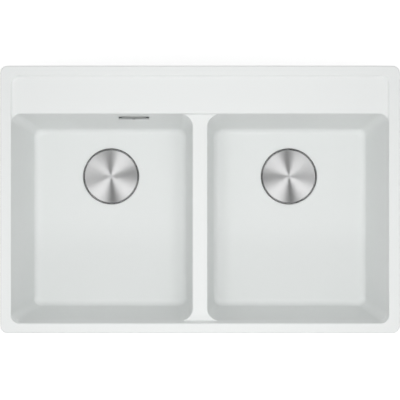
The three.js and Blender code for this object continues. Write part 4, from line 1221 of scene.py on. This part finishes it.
def overflow_plate():
    face = pill(PLATE_WIDTH, PLATE_HEIGHT, -STANDOFF, SHEET - STANDOFF, 0.35, PLATE_CORNER)
    half = FOLD_WIDTH / 2
    edge = PLATE_HEIGHT / 2
    folds = [block(-half, half, -STANDOFF + 0.4, -GAP, z, z + SHEET) for z in (edge - SHEET, -edge)]
    leaning = turn(-degrees(atan(DRAFT)), "X")
    return placed(gathered([face, *folds]), shift(OVERFLOW_X, OVERFLOW_WALL, OVERFLOW_Z) @ leaning)


def overflow_screw():
    face = OVERFLOW_WALL - STANDOFF - GAP
    tip = HOUSING_Y + FLANGE_PLATE + CHAMBER_DEPTH - CHAMBER_WALL - 3
    head = [(OVERFLOW_SCREW + wider, face - rise) for wider, rise in OVERFLOW_HEAD]
    made = turned([*head, (OVERFLOW_SCREW, face), (OVERFLOW_SCREW, tip)], 0, SMALL)
    long, narrow = OVERFLOW_CROSS
    bars = [block(-x, x, -y, y, face - 2, face - 0.3) for x, y in ((long, narrow), (narrow, long))]
    return placed(cut(made, joined(*bars)), AT_OVERFLOW @ turn(-90, "X"))


def overflow_gasket():
    start = OVERFLOW_SEAT + GAP
    end = start + OVERFLOW_GASKET
    inset, growth = 2 * GASKET_MARGIN, 2 * GASKET_BORE
    outer = pill(SEAT_WIDTH - inset, SEAT_HEIGHT - inset, start, end)
    inner = pill(SLOT_WIDTH + growth, SLOT_HEIGHT + growth, start - 1, end + 1)
    front = OVERFLOW_WALL - STANDOFF + SHEET
    top = PLATE_HEIGHT / 2
    # The black strip on the top fold is painted shadow in the gap between the plate and the wall.
    made = [cut(outer, inner), block(-SHADE_SPACER[0], SHADE_SPACER[0], front, front + SHADOW_STRIP[0], top, top + SHADOW_STRIP[1])]
    # Black spacers at the plate's ends hold it off the wall; their black also stands in as painted shade
    # for the shadowed gap there.
    for side in (-1, 1):
        near, far = sorted(side * x for x in SHADE_SPACER)
        made.append(block(near, far, front, OVERFLOW_WALL - GAP, -SHADE_SPACER_HEIGHT / 2, SHADE_SPACER_HEIGHT / 2))
    return placed(gathered(made), AT_OVERFLOW)


def overflow_housing():
    y1 = HOUSING_Y + FLANGE_PLATE
    y2 = y1 + CHAMBER_DEPTH
    width = SLOT_WIDTH
    height = SLOT_HEIGHT + CHAMBER_MORE
    walls = 2 * CHAMBER_WALL
    inset = 2 * FLANGE_MARGIN
    flange = pill(SEAT_WIDTH - inset, SEAT_HEIGHT - inset, HOUSING_Y, y1, 0.6)
    chamber = pill(width + walls, height + walls, y1 - 2, y2, 1.4)
    hollow = pill(width, height, HOUSING_Y - 1, y2 - CHAMBER_WALL)
    foot = HOSE_Z - OVERFLOW_Z
    spigot = placed(rod(PORT, foot, -height / 2, 64, 0.4), shift(0, SPIGOT_Y))
    bore = placed(rod(PORT_BORE, foot - 1, 0), shift(0, SPIGOT_Y))
    made = cut(joined(flange, chamber, spigot), hollow, bore)
    return placed(made, AT_OVERFLOW)


def hose_route(count):
    """The hose's length, and points at even steps along it, each with its distance from the top.

    The hose leaves both ends straight, with a free curve between them.
    """
    top = Vector((OVERFLOW_X, SPIGOT_Y, HOSE_Z - GAP))
    foot = Vector((-WASTE_X, WASTE_Y + PORT_REACH + GAP, PORT_Z))
    down = Vector((0, 0, -1))
    back = Vector((0, 1, 0))
    a = top + down * CUFF
    b = top + down * HOSE_TOP_REACH
    c = foot + back * HOSE_FOOT_REACH
    d = foot + back * CUFF
    points = [top.lerp(a, i / 6) for i in range(6)]
    for i in range(CURVE_STEPS + 1):
        t = i / CURVE_STEPS
        s = 1 - t
        points.append(a * s ** 3 + 3 * b * s * s * t + 3 * c * s * t * t + d * t ** 3)
    points += [d.lerp(foot, i / 6) for i in range(1, 7)]
    lengths = [0]
    for before, after in zip(points, points[1:]):
        lengths.append(lengths[-1] + (after - before).length)
    total = lengths[-1]
    made = []
    k = 0
    for i in range(count + 1):
        wanted = total * i / count
        while k < len(lengths) - 2 and lengths[k + 1] < wanted:
            k += 1
        share = (wanted - lengths[k]) / (lengths[k + 1] - lengths[k])
        made.append((points[k].lerp(points[k + 1], share), wanted))
    return total, made


def overflow_hose():
    total, places = hose_route(HOSE_STEPS)
    ribs = round((total - 2 * CUFF) / HOSE_PITCH)
    side = Vector((1, 0, 0))
    stations = []
    for i, (point, distance) in enumerate(places):
        before = places[max(i - 1, 0)][0]
        after = places[min(i + 1, len(places) - 1)][0]
        along = (after - before).normalized()
        side = (side - along * side.dot(along)).normalized()
        share = (distance - CUFF) / (total - 2 * CUFF)
        radius = HOSE_END
        if 0 < share < 1:
            wave = 0.5 - 0.5 * cos(2 * pi * ribs * share)
            ends = min(1, share * ribs * 2, (1 - share) * ribs * 2)
            ribbed = HOSE_VALLEY + (HOSE - HOSE_VALLEY) * wave ** 0.7
            radius = HOSE_END + (ribbed - HOSE_END) * ends
        stations.append((point, along, side.copy(), radius))
    return swept(stations, PORT_BORE - 0.5, 32)


def hose_nut():
    return ribbed_nut(
        HOSE_NUT, HOSE_NUT_RIBS, PORT, HOSE_END, HOSE_NUT_GRIP - HOSE_NUT_HEIGHT,
        HOSE_NUT_HEIGHT - HOSE_NUT_GRIP - GAP, HOSE_NUT_GRIP,
    )


def on_port(x):
    return shift(x, WASTE_Y + PORT_REACH, PORT_Z) @ turn(90, "X")


dress(overflow_plate(), "overflow_cover", plate_steel, "overflow_plate")
dress(overflow_screw(), "cover_screw", polished, "overflow_screw")
# The overflow's gasket piece also carries the black painted-shade strip and the spacers at the plate's
# ends.
dress(overflow_gasket(), "overflow_ring_and_painted_shade", rubber, "overflow_gasket")
dress(overflow_housing(), "overflow_chamber", white_plastic, "overflow_housing")
dress(overflow_hose(), "ribbed_hose", grey_plastic, "overflow_hose", edge_degrees=60)
upper_nut = placed(hose_nut(), shift(OVERFLOW_X, SPIGOT_Y, HOSE_Z))
dress(upper_nut, "hose_nut_upper", grey_plastic, "upper_hose_nut")
dress(placed(hose_nut(), on_port(-WASTE_X)), "hose_nut_lower", grey_plastic, "lower_hose_nut")
cap = ribbed_nut(HOSE_NUT, HOSE_NUT_RIBS, PORT, 0, -CAP_END, CAP_END - GAP, HOSE_NUT_GRIP)
dress(placed(cap, on_port(WASTE_X)), "blank_cap", grey_plastic, "port_cap")

# -------------------- clips, about their own seats


def clip_bracket():
    width, low, high = CLIP_PLATE
    half = width / 2
    front = GAP + CLIP_SHEET
    outline = rounded_box((-half, half, low, high), CLIP_CORNERS, 6)
    upright = Matrix(((0, 0, 1, 0), (1, 0, 0, 0), (0, 1, 0, 0), (0, 0, 0, 1)))
    plate = placed(extruded(outline, GAP, front), upright)
    reach = PIVOT_REACH + PIN + 1
    shape = rounded_box((front - 0.5, reach, low, EAR_RISE - PIVOT_DROP), EAR_CORNERS, 6)
    ears = []
    for y in (half - CLIP_SHEET, -half):
        ears.append(placed(extruded(shape, y, y + CLIP_SHEET), turn(90, "X")))
    pivot = shift(PIVOT_REACH, 0, -PIVOT_DROP) @ turn(90, "X")
    pin = placed(rod(PIN, -half - 0.02, half + 0.02, 32, 0.3), pivot)
    return gathered([plate, *ears, pin])


def clip_claw():
    half = CLAW_WIDTH / 2
    eye = placed(tube(PIN + GAP, EYE, -half, half, 0.2, SMALL), turn(90, "X"))
    height, count, pitch, tip = TOOTH
    length = (PIVOT_DROP - CLAW_TOP) / cos(radians(CLAW_LEAN))
    outline = [(EYE - CLIP_SHEET, 0), (EYE, 0)]
    first = length - count * pitch
    for i in range(count):
        start = first + i * pitch
        outline += [(EYE, start), (EYE + height, start + pitch * tip)]
    outline += [(EYE, length), (EYE - CLIP_SHEET, length)]
    arm = placed(extruded(outline, -half, half), turn(CLAW_LEAN, "Y") @ turn(90, "X"))
    return placed(gathered([eye, arm]), shift(PIVOT_REACH, 0, -PIVOT_DROP))


def clip_screw():
    seat = GAP + CLIP_SHEET + GAP
    top = seat + CLIP_HEAD_HEIGHT
    made = turned([
        (CLIP_SCREW, -CLIP_SCREW_DEPTH), (CLIP_SCREW, seat),
        (CLIP_HEAD, seat), (CLIP_HEAD, top - 0.7), (CLIP_HEAD - 1.2, top),
    ], 0.4, SMALL)
    made = cut(made, cross_recess(*CLIP_CROSS, top))
    return placed(made, shift(0, 0, -CLIP_SCREW_DROP) @ turn(90, "Y"))


bracket, claw, screw = clip_bracket(), clip_claw(), clip_screw()
for place in CLIPS:
    for part, name, body in (
        (bracket, "clip_bracket", "shell"),
        (claw, "clip_claw", f"{place[0]}_claw"),
        (screw, "clip_screw", "shell"),
    ):
        dress_copy(part, at_clip(place), f"{place[0]}_{name}", zinc, f"{name}_{place[0]}", body)
for part in (bracket, claw, screw):
    bpy.data.objects.remove(part)

# -------------------- floor and light

FLOOR_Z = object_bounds()[0][2] - MM  # metres, as everything in this section
FLOOR_HALF = 20
FLOOR_COLOUR = (0.72, 0.72, 0.72, 1)
FLOOR_GLOW = 0.62  # added for the camera, reflections and glass, which see a white floor
WHITE = (1, 1, 1, 1)
AMBIENT = 0.48
MIRRORED_AMBIENT = 0.06
MIRRORED_PANELS = 2.95  # added to the mirrored ambient
PANEL_TURN = 5  # degrees
PANEL_SHARPNESS = 5
PANEL_FOOT = (0.65, 0.8)  # sines of the heights between which the panels start
PANEL_HEAD = (0.98, 0.94)  # and between which they end, towards the zenith
HORIZON_EDGE = (0.3, 0.1)  # sines of the heights between which the white horizon begins
LAMPS = (  # name, place, size and watts
    ("overhead", (0, -0.1, 1.35), (0.8, 0.6), 10.2),
    ("front", (0, -1.3, 1.3), (1.2, 0.3), 2.5),
)
LAMP_AIM = Vector((0, 0, -0.1))


def floor_look():
    """Pale floor that shows white to the camera and keeps the soft shadow."""
    material = bpy.data.materials.new("floor")
    material.use_nodes = True
    tree = material.node_tree
    tree.nodes.clear()
    diffuse = add_node(tree, "ShaderNodeBsdfDiffuse", {"Color": FLOOR_COLOUR})
    path = add_node(tree, "ShaderNodeLightPath", {}).outputs
    seen = add_maths(tree, "MAXIMUM", path["Is Camera Ray"], path["Is Glossy Ray"])
    seen = add_maths(tree, "MAXIMUM", seen, path["Is Transmission Ray"])
    strength = add_maths(tree, "MULTIPLY", seen, FLOOR_GLOW)
    glow = add_node(tree, "ShaderNodeEmission", {"Color": WHITE, "Strength": strength})
    both = add_node(tree, "ShaderNodeAddShader", {0: diffuse.outputs[0], 1: glow.outputs[0]})
    add_node(tree, "ShaderNodeOutputMaterial", {"Surface": both.outputs[0]})
    return material


def floor_plane():
    mesh = bpy.data.meshes.new("floor")
    corners = [(x * FLOOR_HALF, y * FLOOR_HALF, FLOOR_Z) for x, y in ((-1, -1), (1, -1), (1, 1), (-1, 1))]
    mesh.from_pydata(corners, [], [(0, 1, 2, 3)])
    mesh.materials.append(floor_look())
    floor = add_object("floor", mesh)


def area_light(name, place, size, power):
    """A soft lamp that mirrored rays don't see."""
    data = bpy.data.lights.new(name, "AREA")
    data.shape = "RECTANGLE"
    data.size, data.size_y = size
    data.energy = power
    lamp = add_object(name, data)
    lamp.location = place
    lamp.rotation_euler = (LAMP_AIM - Vector(place)).to_track_quat("-Z", "Y").to_euler()
    lamp.visible_camera = False
    lamp.visible_glossy = False


def world_light():
    """Even white light for matt surfaces, in which glossy ones mirror a studio.

    The studio has four soft panels high up, between the sink's own directions, and is white at the
    horizon. What the camera sees behind the object is white too.
    """
    world = bpy.data.worlds.new("studio")
    bpy.context.scene.world = world
    world.use_nodes = True
    tree = world.node_tree

    def maths(operation, first, second):
        return add_maths(tree, operation, first, second)

    def step(value, start, end):
        inputs = {"Value": value, "From Min": start, "From Max": end}
        node = add_node(tree, "ShaderNodeMapRange", inputs, interpolation_type="SMOOTHSTEP")
        return node.outputs["Result"]

    def mixed(first, second, share):
        first_part = maths("MULTIPLY", first, maths("SUBTRACT", 1, share))
        return maths("ADD", first_part, maths("MULTIPLY", second, share))

    inputs = {
        "Vector": add_node(tree, "ShaderNodeTexCoord", {}).outputs["Generated"],
        "Angle": radians(-PANEL_TURN),
    }
    direction = add_node(tree, "ShaderNodeVectorRotate", inputs, rotation_type="Z_AXIS").outputs[0]
    x, y, height = add_node(tree, "ShaderNodeSeparateXYZ", {0: direction}).outputs
    x_square = maths("MULTIPLY", x, x)
    y_square = maths("MULTIPLY", y, y)
    across = maths("ADD", maths("ADD", x_square, y_square), 1e-6)
    share = maths("DIVIDE", maths("SUBTRACT", x_square, y_square), across)
    between = maths("SUBTRACT", 1, maths("POWER", maths("ABSOLUTE", share, 0), PANEL_SHARPNESS))
    band = maths("MULTIPLY", step(height, *PANEL_FOOT), step(height, *PANEL_HEAD))
    panels = maths("MULTIPLY", maths("MULTIPLY", between, band), MIRRORED_PANELS)
    path = add_node(tree, "ShaderNodeLightPath", {}).outputs
    gloss = maths("MAXIMUM", path["Is Glossy Ray"], path["Is Transmission Ray"])
    studio = mixed(AMBIENT, maths("ADD", panels, MIRRORED_AMBIENT), gloss)
    horizon = maths("MULTIPLY", gloss, step(height, *HORIZON_EDGE))
    white = maths("MAXIMUM", path["Is Camera Ray"], horizon)
    background = tree.nodes["Background"]
    background.inputs["Color"].default_value = WHITE
    tree.links.new(mixed(studio, 1, white), background.inputs["Strength"])


floor_plane()
world_light()
for lamp in LAMPS:
    area_light(*lamp)

bpy.context.scene.view_settings.view_transform = "Standard"
